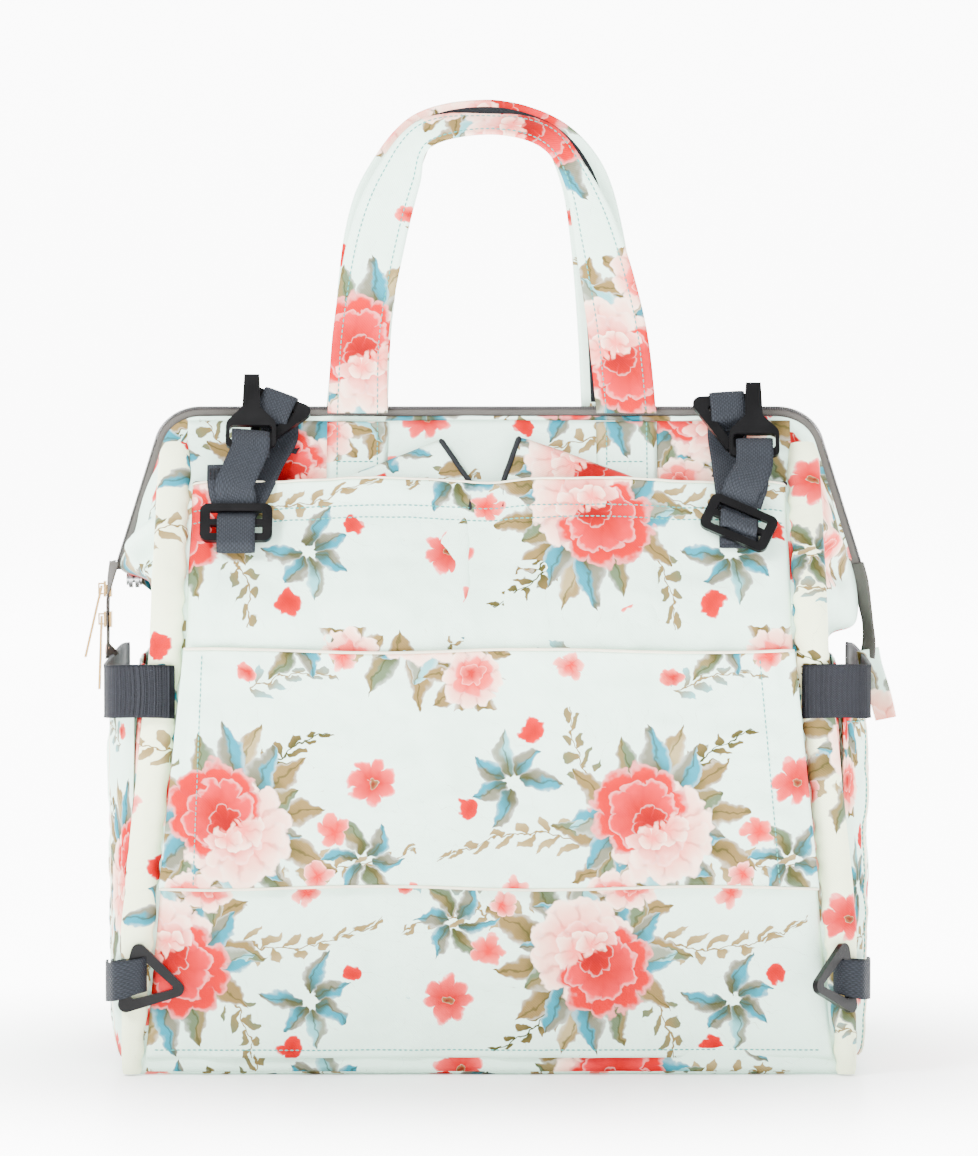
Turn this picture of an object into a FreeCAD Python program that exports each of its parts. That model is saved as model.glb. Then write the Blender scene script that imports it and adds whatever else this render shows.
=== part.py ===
import FreeCAD, Part
import os
from math import cos, radians, sin, tan

V = FreeCAD.Vector

# Diaper backpack with a wire-framed doctor mouth. Millimetres, +Z up, -Y is the back of the bag.
# The origin is the middle of the base, on the surface that the bag stands on.

# Overall sizes
base_half = 182.0        # half the width across the base
side_half = 176.0        # half the width across the side panels at their top
back_y = -95.0           # outer face of the back panel
front_y = 94.5           # outer face of the front panel
side_top = 205.0         # top edge of the side panels
front_top = 150.0        # top edge of the stiff part of the front
knee_z = 232.0           # where the back panel starts to lean in
hem_z = 326.0            # top edge of the back panel
hem_y = -49.5            # outer face of the back panel at that edge
seam_half = [(173.0, 2.0), (164.5, 95.0), (152.0, 212.0), (149.0, 320.0)]
roll_width = 16.0        # padded roll outside each side seam of the back

# Thicknesses and gaps
cloth = 1.5              # coated fabric with its backing
thin_cloth = 1.2
board = 2.5              # stiffener in the base
foam = 6.0               # pad against the wearer's back
strap_pad = 6.0          # padded shoulder strap
webbing = 1.2
gap = 0.4                # between soft layers
running = 0.05           # radial play of the frame's pivots

# Mouth: two sprung wire frames on one pivot in each ear
pivot_y = -10.0
pivot_z = 243.0
mouth_lean = 24.0        # degrees, towards the back
mouth_half = 193.0       # outer edge of the zip tape at the pivots
mouth_top_half = 163.0   # and at its two top corners
mouth_height = 97.4      # pivot to the top edge of the tape, along the slope
mouth_corner = 25.0
tape_width = 12.0
tape = 0.5
coil_width = 1.5
wire_dia = 3.0
rear_wire_inset = 13.0
front_wire_inset = 9.0
eye_radius = 4.5
rivet_radius = 1.95
eye_width = 2.0

# Handles
handle_width = 31.0
handle_thick = 3.0
handle_leg = 67.0        # middle of each leg from the middle of the bag
handle_neck = 14.0       # width where the strap is folded at the top
rear_handle_top = 480.0
front_handle_top = 486.0
leg_patch = 32.0         # sewn length of each leg

# Stroller straps at the top corners, and the rings at the bottom ones
ring_side = 37.0
ring_height = 32.0
ring_bar = 5.5
ring_thick = 3.0
web_width = 20.0
loop_play = 0.6          # between webbing and the bar inside it
buckle_size = (36.0, 20.0)
buckle_bar = 4.0
hook_thick = 3.0
hook_gap = 3.6           # middle of the ring's bar to the hook's blade

# Pockets
front_pocket_half = 186.0
front_pocket_depth = 27.0
side_pocket_half = 191.0
side_pocket_depth = 148.0
elastic = 1.6
elastic_width = 27.0
pocket_top = 290.0       # mouth of the back pocket that the shoulder straps stow in
sleeve_low, sleeve_high = 95.0, 212.0

lean = radians(mouth_lean)
slope_rise = V(0, hem_y - back_y, hem_z - knee_z)
slope_deg = 90 - V(0, 1, 0).getAngle(slope_rise) * 57.29577951308232
slope = radians(slope_deg)

os.makedirs("parts", exist_ok=True)


def export(name, shape):
    shape.exportStep("parts/" + name + ".step")


# Outlines and plates

def outline(points, radii=0.0):
    """Closed wire through coplanar points, each corner rounded by its own radius."""
    if not hasattr(radii, "__len__"):
        radii = [radii] * len(points)
    corners = []
    for index, point in enumerate(points):
        here = V(*point)
        back = (V(*points[index - 1]) - here).normalize()
        ahead = (V(*points[(index + 1) % len(points)]) - here).normalize()
        half = back.getAngle(ahead) / 2
        if radii[index] == 0 or half > 1.569:
            corners.append((here, None, here))
            continue
        reach = radii[index] / tan(half)
        middle = (back + ahead).normalize() * (radii[index] / sin(half) - radii[index])
        corners.append((here + back * reach, here + middle, here + ahead * reach))
    edges = []
    for index, (start, middle, end) in enumerate(corners):
        following = corners[(index + 1) % len(corners)][0]
        if middle:
            edges.append(Part.Arc(start, middle, end).toShape())
        if end.distanceToPoint(following) > 1e-6:
            edges.append(Part.makeLine(end, following))
    return Part.Wire(edges)


def plate(points, low, high, radii=0.0):
    """Flat plate from an outline in the XY plane, between two heights."""
    shape = Part.Face(outline(points, radii)).extrude(V(0, 0, high - low))
    shape.translate(V(0, 0, low))
    return shape


def stand(shape, y=0.0):
    """Local Y becomes up and local Z becomes backwards, from the plane at y."""
    shape.rotate(V(0, 0, 0), V(1, 0, 0), 90)
    shape.translate(V(0, y, 0))
    return shape


def across(points, x0, x1, radii=0.0):
    """A (y, z) outline swept across the bag."""
    wire = outline([(x0, y, z) for y, z in points], radii)
    return Part.Face(wire).extrude(V(x1 - x0, 0, 0))


def ribbon(path, thick):
    """Closed outline of a strip of even thickness along an open path."""
    left, right = [], []
    for index, point in enumerate(path):
        here = V(*point)
        before = V(*path[max(index - 1, 0)])
        after = V(*path[min(index + 1, len(path) - 1)])
        way_in = (here - before) if index else (after - here)
        way_out = (after - here) if index < len(path) - 1 else way_in
        way_in = V(way_in).normalize()
        way_out = V(way_out).normalize()
        middle = (way_in + way_out).normalize()
        side = V(-middle.y, middle.x, 0) * (thick / 2 / middle.dot(way_in))
        left.append(((here + side).x, (here + side).y))
        right.append(((here - side).x, (here - side).y))
    return left + right[::-1]


def ribbon_radii(path, radius, thick):
    """Corner radii for ribbon(), so that both faces share their centres."""
    left = [0.0]
    for index in range(1, len(path) - 1):
        way_in = V(*path[index]) - V(*path[index - 1])
        way_out = V(*path[index + 1]) - V(*path[index])
        turn = way_in.cross(way_out).z
        left.append(radius - thick / 2 if turn > 0 else radius + thick / 2)
    left.append(0.0)
    right = [0.0 if value == 0 else 2 * radius - value for value in left]
    return left + right[::-1]


def mirrored(shape):
    return shape.mirror(V(0, 0, 0), V(1, 0, 0))


def box(x0, x1, y0, y1, z0, z1):
    return Part.makeBox(x1 - x0, y1 - y0, z1 - z0, V(x0, y0, z0))


def symmetric(half_points):
    """An outline given by its right half from the bottom up."""
    return half_points + [(-x, z) for x, z in half_points[::-1]]


# The sloping back: depth is measured outwards from the back panel's face

def back_line(depth, low=2.0, high=350.0):
    """Points of the line that lies at this depth off the back panel's face."""
    knee_shift = depth * tan(slope / 2)
    rise = (high - knee_z - knee_shift)
    return [
        (back_y - depth, low),
        (back_y - depth, knee_z + knee_shift),
        (back_y - depth + rise * tan(slope), high),
    ]


def back_layer(inner, outer, points, radii=0.0):
    """A piece of the back between two depths, with this outline seen from behind."""
    profile = back_line(outer) + back_line(inner)[::-1]
    prism = across(profile, -2 * base_half, 2 * base_half)
    return prism.common(stand(plate(points, -front_y, -2 * back_y, radii)))


def on_slope(shape):
    """Local Y runs up the sloping top of the back, local Z out of its face."""
    shape.rotate(V(0, 0, 0), V(1, 0, 0), 90 - slope_deg)
    shape.translate(V(0, back_y, knee_z))
    return shape


def in_mouth(shape):
    """Local Y runs from the pivots to the top of the mouth, local Z backwards."""
    shape.rotate(V(0, 0, 0), V(1, 0, 0), 90 + mouth_lean)
    shape.translate(V(0, pivot_y, pivot_z))
    return shape


def mouth_outline(inset, bottom=0.0):
    """The mouth's outline, inset evenly on its two sides and its top."""
    side = V(mouth_half - mouth_top_half, mouth_height, 0)
    shift = inset * side.Length / mouth_height
    taper = (mouth_half - mouth_top_half) / mouth_height
    top = mouth_height - inset
    return symmetric([
        (mouth_half - shift - bottom * taper, bottom),
        (mouth_half - shift - top * taper, top),
    ])


def mouth_band(outer, inner, low, high, bottom=6.0):
    """U-shaped band in the plane of the mouth, between two insets and two depths."""
    bend = max(mouth_corner - outer, 3.0)
    whole = plate(mouth_outline(outer, bottom), low, high, [0, bend, bend, 0])
    hollow = plate(mouth_outline(inner, -20.0), low - 1, high + 1,
                   [0, max(mouth_corner - inner, 3.0), max(mouth_corner - inner, 3.0), 0])
    return in_mouth(whole.cut(hollow))


# Body panels

base_panel = plate(
    [(-base_half, back_y + 1), (base_half, back_y + 1), (base_half, front_y), (-base_half, front_y)],
    0, 2, 12)
export("base_panel", base_panel)
export("base_board", box(-base_half + 14, base_half - 14, back_y + 14, front_y - 8, 2, 2 + board))

seam = symmetric(seam_half + [(149.0, hem_z)])
export("back_panel", back_layer(-cloth, 0, seam, [0] * 4 + [14, 14] + [0] * 4))
foam_outline = symmetric([(160, 12), (156, 95), (146, 208), (145, 222)])
export("back_foam", back_layer(-cloth - foam, -cloth, foam_outline))

roll = [(x, z) for x, z in seam_half] + [
    (149.0 + roll_width - 4, 316.0), (152.0 + roll_width, 212.0),
    (164.5 + roll_width, 95.0), (base_half, 2.0)]
right_roll = back_layer(-4, 4, roll)
right_roll = right_roll.cut(back_layer(-cloth, 0, seam))
export("back_roll_right", right_roll)
export("back_roll_left", mirrored(right_roll))

side_strip = ribbon([(base_half - 1, 2.1), (side_half - 1, side_top)], cloth)
side_panel = Part.Face(outline([(x, 0, z) for x, z in side_strip]))
side_panel = side_panel.extrude(V(0, front_y - cloth - back_y - 4 - 3, 0))
side_panel.translate(V(0, back_y + 5.5, 0))
export("side_panel_right", side_panel)
export("side_panel_left", mirrored(side_panel))

front_outline = symmetric([(base_half - 2, 2), (side_half, front_top)])
export("front_panel", stand(plate(front_outline, 0, cloth), front_y))

lining_back = back_y + cloth + foam + gap
lining_front = front_y - cloth - gap
outer_lining = box(-side_half + 4, side_half - 4, lining_back, lining_front, 2 + board + 0.2, 148)
inner_lining = box(-side_half + 4.8, side_half - 4.8, lining_back + 0.8, lining_front - 0.8, 5.6, 149)
export("lining", outer_lining.cut(inner_lining))

# Soft upper walls, which fold when the mouth opens

yoke_line = ribbon([(front_y - 1, front_top + 0.5), (pivot_y - 21, hem_z - 6)], cloth)
yoke = across(yoke_line, -158, 158)
export("front_yoke", yoke)


def gusset(corners):
    """Thin triangle of cloth between three corners."""
    face = Part.Face(outline(corners))
    normal = face.normalAt(0, 0)
    return face.extrude(normal * thin_cloth)


ear = (mouth_half - 7, pivot_y - 4, pivot_z + 3)
roll_foot = (side_half - 2, back_y + 8, side_top + 1)
roll_head = (159, hem_y - 3.5, hem_z - 20)
side_middle = (side_half - 1, pivot_y - 6, side_top + 1)
rear_gusset = gusset([roll_foot, roll_head, ear]).fuse(gusset([roll_foot, ear, side_middle]))
export("rear_gusset_right", rear_gusset)
export("rear_gusset_left", mirrored(rear_gusset))

front_ear = (mouth_half - 7, pivot_y + 6, pivot_z + 3)
front_middle = (side_half - 1, pivot_y + 4, side_top + 1)
front_foot = (side_half - 1, front_y - 5, side_top + 1)
front_head = (162, pivot_y - 20, hem_z - 14)
front_gusset = gusset([front_middle, front_ear, front_foot]).fuse(
    gusset([front_ear, front_head, front_foot]))
export("front_gussets", Part.makeCompound([front_gusset, mirrored(front_gusset)]))

# Mouth frames, zip tapes and teeth

export("zip_teeth_rear", mouth_band(0, coil_width, 0.15, 1.0))
export("zip_tape_rear", mouth_band(coil_width, tape_width, 0.2, 0.2 + tape))
export("zip_teeth_front", mouth_band(0, coil_width, -1.0, -0.15))
export("zip_tape_front", mouth_band(coil_width, tape_width, -0.2 - tape, -0.2))
export("front_hem", mouth_band(6, 22, -5.0, -4.0, 12.0))


def frame_wire(inset, depth, eye_x):
    """Round spring wire bent to the mouth, with a flat eye on each end."""
    foot = 3.0
    points = mouth_outline(inset, foot)
    start, first, second, end = [V(x, u, depth) for x, u in points]
    radius = mouth_corner - inset + 4
    edges = []
    previous = start
    for corner, following in ((first, second), (second, end)):
        back = (start - corner).normalize() if corner == first else (first - corner).normalize()
        ahead = (following - corner).normalize()
        half = back.getAngle(ahead) / 2
        reach = radius / tan(half)
        middle = corner + (back + ahead).normalize() * (radius / sin(half) - radius)
        edges.append(Part.makeLine(previous, corner + back * reach))
        edges.append(Part.Arc(corner + back * reach, middle, corner + ahead * reach).toShape())
        previous = corner + ahead * reach
    edges.append(Part.makeLine(previous, end))
    spine = Part.Wire(edges)
    section = Part.Wire(Part.makeCircle(wire_dia / 2, start, first - start))
    wire = spine.makePipeShell([section], True, False)
    for side in (1, -1):
        eye = Part.makeCylinder(eye_radius, eye_width, V(side * eye_x, 0, 0), V(side, 0, 0))
        wire = wire.fuse(eye)
    bore = Part.makeCylinder(rivet_radius + running, 2 * mouth_half, V(-mouth_half, 0, 0), V(1, 0, 0))
    return in_mouth(wire.cut(bore))


rear_eye = 178.4
front_eye = rear_eye + eye_width + 1.2
export("frame_wire_rear", frame_wire(rear_wire_inset, 2.4, rear_eye))
export("frame_wire_front", frame_wire(front_wire_inset, -2.4, front_eye))

rivets = []
for side in (1, -1):
    inner = rear_eye - 0.3
    outer = front_eye + eye_width + 0.3
    way = V(side, 0, 0)
    shank = Part.makeCylinder(rivet_radius, outer - inner, V(side * inner, 0, 0), way)
    for head_x in (inner - 1, outer):
        shank = shank.fuse(Part.makeCylinder(3.2, 1, V(side * head_x, 0, 0), way))
    shank.translate(V(0, pivot_y, pivot_z))
    rivets.append(shank)
export("frame_rivets", Part.makeCompound(rivets))

# Zip tails below the ears, their sliders and pulls

tail_x = 194.4           # middle of the left tail, which hangs outside the ear
tail_low, tail_high = 206.0, 252.0
tail_slit = 2.4
slider_height = 8.0
slider_width = 8.0
slider_plate = 1.2
slider_play = 0.3
upper_slider_z = 238.0
lower_slider_z = 222.5
pull_length = 35.0
pull_width = 4.5
pull_thick = 1.2

tail = box(-tail_x - 0.6, -tail_x + 0.6, pivot_y - 6, pivot_y + 6, tail_low, tail_high)
tail = tail.cut(box(-tail_x - 1, -tail_x + 1, pivot_y - tail_slit / 2, pivot_y + tail_slit / 2,
                    tail_low + 4, tail_high - 3))
bridge = box(-tail_x + 0.6, -mouth_half + 7, pivot_y - 6, pivot_y + 3, pivot_z + 3.5, pivot_z + 4.7)
export("zip_tail_left", tail.fuse(bridge))

right_tail_x = 191.0
right_tail = box(right_tail_x, right_tail_x + 1.2, pivot_y - 7, pivot_y + 3, tail_low + 2, pivot_z + 4.8)
export("zip_tail_right", right_tail)
end_tab = box(-1.2, 1.2, -7, 7, -36, 0)
end_tab.rotate(V(0, 0, 0), V(0, 1, 0), -18)
end_tab.translate(V(right_tail_x + 2.6, pivot_y, tail_low + 6))
export("zip_end_tab_right", end_tab)


def slider(bail_reach):
    """Zip slider on a tape that faces sideways: two plates, the post between and a bail."""
    inner = 0.6 + slider_play
    half = slider_height / 2
    plates = [
        box(sign * inner if sign > 0 else -inner - slider_plate,
            inner + slider_plate if sign > 0 else -inner,
            -slider_width / 2, slider_width / 2, -half, half)
        for sign in (1, -1)
    ]
    post = box(-inner, inner, -0.8, 0.8, -half + 1, half - 2)
    body = plates[0].fuse([plates[1], post])
    outer = -inner - slider_plate
    bail = box(outer - bail_reach, outer, -0.7, 0.7, -3, 3)
    window = box(outer - bail_reach + 0.8, outer - 0.1, -1, 1, -2.2, 2.2)
    return body.fuse(bail.cut(window))


def pull(tilt):
    """Flat zip pull, hung by the middle of its cross bar from the origin."""
    hang = box(-pull_thick / 2, pull_thick / 2, -pull_width / 2, pull_width / 2, -pull_length - 2, 0.5)
    hang = hang.cut(box(-1, 1, -1.3, 1.3, -6.3, -0.5))
    hang.rotate(V(0, 0, 0), V(0, 1, 0), tilt)
    return hang


bail_reach = 3.0
bail_x = 0.6 + slider_play + slider_plate + bail_reach - 1.8
for name, z, tilt in (("upper", upper_slider_z, 13.0), ("lower", lower_slider_z, 2.0)):
    body = slider(bail_reach)
    body.translate(V(-tail_x, pivot_y, z))
    export("mouth_slider_" + name, body)
    hang = pull(tilt)
    hang.translate(V(-tail_x - bail_x, pivot_y, z + 1.1))
    export("mouth_pull_" + name, hang)

# Carrying handles

def handle(top):
    """Flat strap bent to an arch, folded narrower at the top; its foot is at z = 0."""
    outer = handle_leg + handle_width / 2
    inner = handle_leg - handle_width / 2
    neck = top - handle_neck
    face = outline(symmetric([(outer, 0), (outer - 6, 0.35 * top), (outer - 21, 0.8 * top), (24, top)]),
                   [0, 90, 42, 30, 30, 42, 90, 0])
    hollow = outline(symmetric([(inner, -1), (inner - 5, 0.35 * top), (inner - 17, 0.8 * top), (16, neck)]),
                     [0, 80, 24, 16, 16, 24, 80, 0])
    strap = Part.Face(face).extrude(V(0, 0, handle_thick))
    window = Part.Face(hollow).extrude(V(0, 0, handle_thick + 2))
    window.translate(V(0, 0, -1))
    return strap.cut(window)


patch_depth = 2.0
rear_foot_z = hem_z + 1.7
rear_foot_y = hem_y - 2.0
front_foot_z = pivot_z + 87.9
front_foot_y = -40.0
rear_handle = stand(handle(rear_handle_top - rear_foot_z), rear_foot_y)
rear_handle.translate(V(0, 0, rear_foot_z))
export("handle_rear", rear_handle)
front_handle = stand(handle(front_handle_top - front_foot_z), front_foot_y)
front_handle.translate(V(0, 0, front_foot_z))
export("handle_front", front_handle)

half_leg = handle_width / 2
rear_patches, front_patches = [], []
for side in (1, -1):
    low_x, high_x = side * handle_leg - half_leg, side * handle_leg + half_leg
    rear_patches.append(back_layer(0.1, 0.1 + patch_depth, [
        (low_x, hem_z - leg_patch), (high_x, hem_z - leg_patch), (high_x, hem_z), (low_x, hem_z)]))
    front_patches.append(in_mouth(plate([
        (low_x, mouth_height - 35), (high_x, mouth_height - 35),
        (high_x, mouth_height - 5), (low_x, mouth_height - 5)], -6.4, -5.1)))
export("handle_patches_rear", Part.makeCompound(rear_patches))
export("handle_patches_front", Part.makeCompound(front_patches))

# Shoulder straps, stowed behind the back pocket

strap_inner = patch_depth + gap
strap_outer = strap_inner + strap_pad
strap_hill = [(10, 120), (80, 120), (84, 292), (62, 306), (28, 313), (8, 300)]
strap_right = back_layer(strap_inner, strap_outer, strap_hill, [8, 8, 6, 12, 10, 6])
export("shoulder_strap_right", strap_right)
export("shoulder_strap_left", mirrored(strap_right))

# Back pocket and luggage sleeve

pocket_depth = strap_outer + gap
pocket_line = ribbon(
    [(back_y - 1.2, 10), (back_y - 2.0, 62), (back_y - pocket_depth - 0.6, 104)]
    + back_line(pocket_depth + 0.6, high=pocket_top)[1:], thin_cloth)
pocket_outline = symmetric([(171.5, 10), (163.5, 95), (151.0, 212), (149.5, pocket_top)])
pocket_sheet = across(pocket_line, -base_half, base_half)
export("back_pocket", pocket_sheet.common(stand(plate(pocket_outline, -front_y, -2 * back_y))))

sleeve_depth = pocket_depth + 1.2 + gap
sleeve_outline = symmetric([(164.5, sleeve_low), (152.0, sleeve_high)])
export("luggage_sleeve", back_layer(sleeve_depth, sleeve_depth + thin_cloth, sleeve_outline))

# Front pocket with its zip across the face

pocket_front = front_y + front_pocket_depth
tub = box(-front_pocket_half, front_pocket_half, front_y + 0.2, pocket_front, 8, front_top)
tub = tub.makeFillet(6, [edge for edge in tub.Edges
                         if abs(edge.BoundBox.ZLength - (front_top - 8)) < 1e-6
                         and edge.BoundBox.YMin > front_y + 1])
tub_space = box(-front_pocket_half + cloth, front_pocket_half - cloth, front_y + 0.2 + cloth,
                pocket_front - cloth, 8 + cloth, front_top + 1)
export("front_pocket", tub.cut(tub_space))
export("front_pocket_top", box(-front_pocket_half + 6, front_pocket_half - 6, front_y + 0.2,
                               pocket_front - 1, front_top, front_top + thin_cloth))
zip_low, zip_high = 132.0, 146.0
zip_middle = (zip_low + zip_high) / 2
export("front_pocket_zip", box(-front_pocket_half - 4, front_pocket_half - 8, pocket_front,
                               pocket_front + 1.0, zip_low, zip_high))
front_slider = box(-5, 5, 0, 2.6, -3.6, 3.6)
front_bail = box(-3, 3, 2.6, 5.4, -0.7, 0.7).cut(box(-2.2, 2.2, 2.7, 4.6, -1, 1))
front_slider = front_slider.fuse(front_bail)
front_slider.rotate(V(0, 0, 0), V(0, 1, 0), 90)
front_slider_x = -front_pocket_half + 1
front_slider.translate(V(front_slider_x, pocket_front + 1.3, zip_middle))
export("front_pocket_slider", front_slider)
front_pull = pull(0)
front_pull.rotate(V(0, 0, 0), V(0, 0, 1), 90)
front_pull.rotate(V(0, 0, 0), V(0, 1, 0), 6)
front_pull.translate(V(front_slider_x, pocket_front + 1.3 + 3.7, zip_middle + 1.1))
export("front_pocket_pull", front_pull)

# Side pockets and their elastic bands

elastic_low, elastic_high = 178.0, 178.0 + elastic_width
side_pocket = plate([(side_pocket_half, -side_pocket_depth / 2),
                     (side_pocket_half, side_pocket_depth / 2),
                     (side_half - 4, side_pocket_depth / 2),
                     (side_half - 4, -side_pocket_depth / 2)], 8, elastic_low + 6, [6, 6, 0, 0])
side_space = plate([(side_pocket_half - thin_cloth, -side_pocket_depth / 2 + thin_cloth),
                    (side_pocket_half - thin_cloth, side_pocket_depth / 2 - thin_cloth),
                    (side_half - 9, side_pocket_depth / 2 - thin_cloth),
                    (side_half - 9, -side_pocket_depth / 2 + thin_cloth)],
                   8 + thin_cloth, elastic_high, [5, 5, 0, 0])
panel_solid = Part.Face(outline([(0, 0, -5), (base_half + 0.2, 0, -5), (base_half + 0.2, 0, 2),
                                 (side_half + 0.2, 0, side_top), (0, 0, side_top)]))
panel_solid = panel_solid.extrude(V(0, 2 * front_y, 0))
panel_solid.translate(V(0, -front_y, 0))
side_pocket = side_pocket.cut(side_space).cut(panel_solid)
export("side_pocket_right", side_pocket)
export("side_pocket_left", mirrored(side_pocket))

elastic_y = back_y - 4 - 0.1 - elastic / 2
elastic_x = side_pocket_half + 0.1 + elastic / 2
elastic_path = [(156, elastic_y), (elastic_x, elastic_y), (elastic_x, side_pocket_depth / 2 + 4)]
band = plate(ribbon(elastic_path, elastic), elastic_low, elastic_high,
             ribbon_radii(elastic_path, 9.0, elastic))
export("side_elastic_right", band)
export("side_elastic_left", mirrored(band))

# Triangular rings, J hooks, strap buckles and their webbing

def ring():
    """Triangle of moulded bar; its long bar lies on local X at y = 0 and its point hangs down."""
    half = ring_side / 2 + 2
    face = [(-half, ring_bar / 2), (half, ring_bar / 2), (0, ring_bar / 2 - ring_height - 2)]
    body = plate(face, -ring_thick / 2, ring_thick / 2, [4, 4, 4])
    inner = half - 1.75 * ring_bar
    window = [(-inner, -ring_bar / 2), (inner, -ring_bar / 2), (0, -ring_height + 1.6 * ring_bar)]
    return body.cut(plate(window, -ring_thick, ring_thick, 1.2))


def hook():
    """J hook over a bar on local X at y = 0: a tapering blade with a webbing eye below."""
    bar = ring_bar / 2 + 0.3
    behind = ring_thick / 2 + 0.4
    profile = [(bar, -behind), (bar, hook_gap), (-34, hook_gap), (-34, hook_gap + hook_thick),
               (bar + hook_thick, hook_gap + hook_thick), (bar + hook_thick, -behind - 2.4),
               (-bar - 1, -behind - 2.4), (-bar - 1, -behind)]
    blade = Part.Face(outline([(0, s, h) for s, h in profile])).extrude(V(30, 0, 0))
    blade.translate(V(-15, 0, 0))
    shape = symmetric([(12.5, -34), (12.5, -20), (4.5, -12), (3.6, 10)])
    window = plate([(-10.6, -30), (10.6, -30), (10.6, -22), (-10.6, -22)], -10, 10, 2)
    return blade.common(plate(shape, -12, 12, [3, 6, 0, 0, 0, 0, 6, 3])).cut(window)


def buckle():
    """Three-bar strap slide, lying flat round the origin."""
    width, height = buckle_size
    frame = plate([(-width / 2, -height / 2), (width / 2, -height / 2),
                   (width / 2, height / 2), (-width / 2, height / 2)],
                  -ring_thick / 2, ring_thick / 2, 4)
    slot_half = width / 2 - buckle_bar - 1
    slot_low, slot_high = 1.6, height / 2 - buckle_bar
    for side in (1, -1):
        slot = plate([(-slot_half, side * slot_low), (slot_half, side * slot_low),
                      (slot_half, side * slot_high), (-slot_half, side * slot_high)],
                     -ring_thick, ring_thick)
        frame = frame.cut(slot)
    return frame


def skewed(path, skew, x_middle, width, radius):
    """Webbing along (s, h) points whose middle drifts sideways by skew for each unit of s."""
    flat = ribbon(path, webbing)
    points = [(x_middle - width / 2 + skew * s, s, h) for s, h in flat]
    face = Part.Face(outline(points, ribbon_radii(path, radius, webbing)))
    return face.extrude(V(width, 0, 0))


bar_s = 110.0            # the hanging bar's place up the slope
bar_h = 8.5              # and off the panel
sewn_s = 92.0
buckle_s = 41.0
run_h = pocket_depth + 1.2 + 0.5 + webbing / 2
buckle_h = run_h + webbing / 2 + 0.5 + ring_thick / 2
front_h = buckle_h + ring_thick / 2 + 0.5 + webbing / 2
eye_h = bar_h + hook_gap + hook_thick / 2
eye_half = hook_thick / 2 + 0.3 + webbing / 2
loop_half = ring_thick / 2 + loop_play + webbing / 2
loop_top = ring_bar / 2 + loop_play + webbing / 2

anchors = []
for name, loop_x, ring_turn, hook_x, buckle_x, buckle_turn in (
        ("right", 119.5, 4.0, 132.5, 124.0, -25.0),
        ("left", -105.5, -22.0, -119.0, -125.5, 0.0)):
    hanging_ring = ring()
    hanging_ring.rotate(V(0, 0, 0), V(0, 0, 1), ring_turn)
    hanging_ring.translate(V(loop_x, bar_s, bar_h))
    export("strap_ring_" + name, on_slope(hanging_ring))

    hook_lift = (hook_x - loop_x) * tan(radians(ring_turn))
    strap_hook = hook()
    strap_hook.translate(V(hook_x, bar_s + hook_lift + 0.3, bar_h))
    export("strap_hook_" + name, on_slope(strap_hook))

    strap_buckle = buckle()
    strap_buckle.rotate(V(0, 0, 0), V(0, 0, 1), buckle_turn)
    strap_buckle.translate(V(buckle_x, buckle_s, buckle_h))
    export("strap_buckle_" + name, on_slope(strap_buckle))

    back_skew = (loop_x - buckle_x) / (sewn_s - buckle_s)
    turn_s = buckle_s - buckle_size[1] / 2 - 8
    back_x = buckle_x - back_skew * buckle_s
    back_run = skewed([(bar_s - 6, 1.6), (sewn_s - 2, 1.6), (sewn_s - 26, run_h), (turn_s, run_h),
                       (turn_s, front_h), (turn_s + 20, front_h)], back_skew, back_x, web_width, 2.2)
    loop_path = [(bar_s - 6.6, bar_h - loop_half), (bar_s + loop_top, bar_h - loop_half),
                 (bar_s + loop_top, bar_h + loop_half), (bar_s - 9, bar_h + loop_half)]
    loop_band = skewed(loop_path, 0, loop_x, web_width - 3, 1.4)
    loop_band.rotate(V(loop_x, bar_s, bar_h), V(0, 0, 1), ring_turn)
    loop_back = box(loop_x - web_width / 2 + 2, loop_x + web_width / 2 - 2, bar_s - 13, bar_s - 6.2,
                    1.0, bar_h - loop_half + webbing / 2)
    front_skew = (hook_x - buckle_x) / (bar_s - 26 - buckle_s)
    front_x = buckle_x - front_skew * buckle_s
    eye_s = bar_s + hook_lift + 0.3 - 32
    front_run = skewed([(turn_s + 8, front_h), (eye_s - 6, front_h), (eye_s + 7.0, eye_h + eye_half),
                        (eye_s + 7.0, eye_h - eye_half), (eye_s - 5, eye_h - eye_half)],
                       front_skew, front_x, web_width - 2, 1.2)
    export("strap_webbing_" + name, on_slope(loop_band.fuse([loop_back, back_run, front_run])))
    anchor = plate([(loop_x - 11, sewn_s - 22), (loop_x + 11, sewn_s - 22),
                    (loop_x + 11, sewn_s - 4), (loop_x - 11, sewn_s - 4)], 0.1, 0.1 + webbing)
    anchors.append(on_slope(anchor))

export("strap_anchors", Part.makeCompound(anchors))

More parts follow.
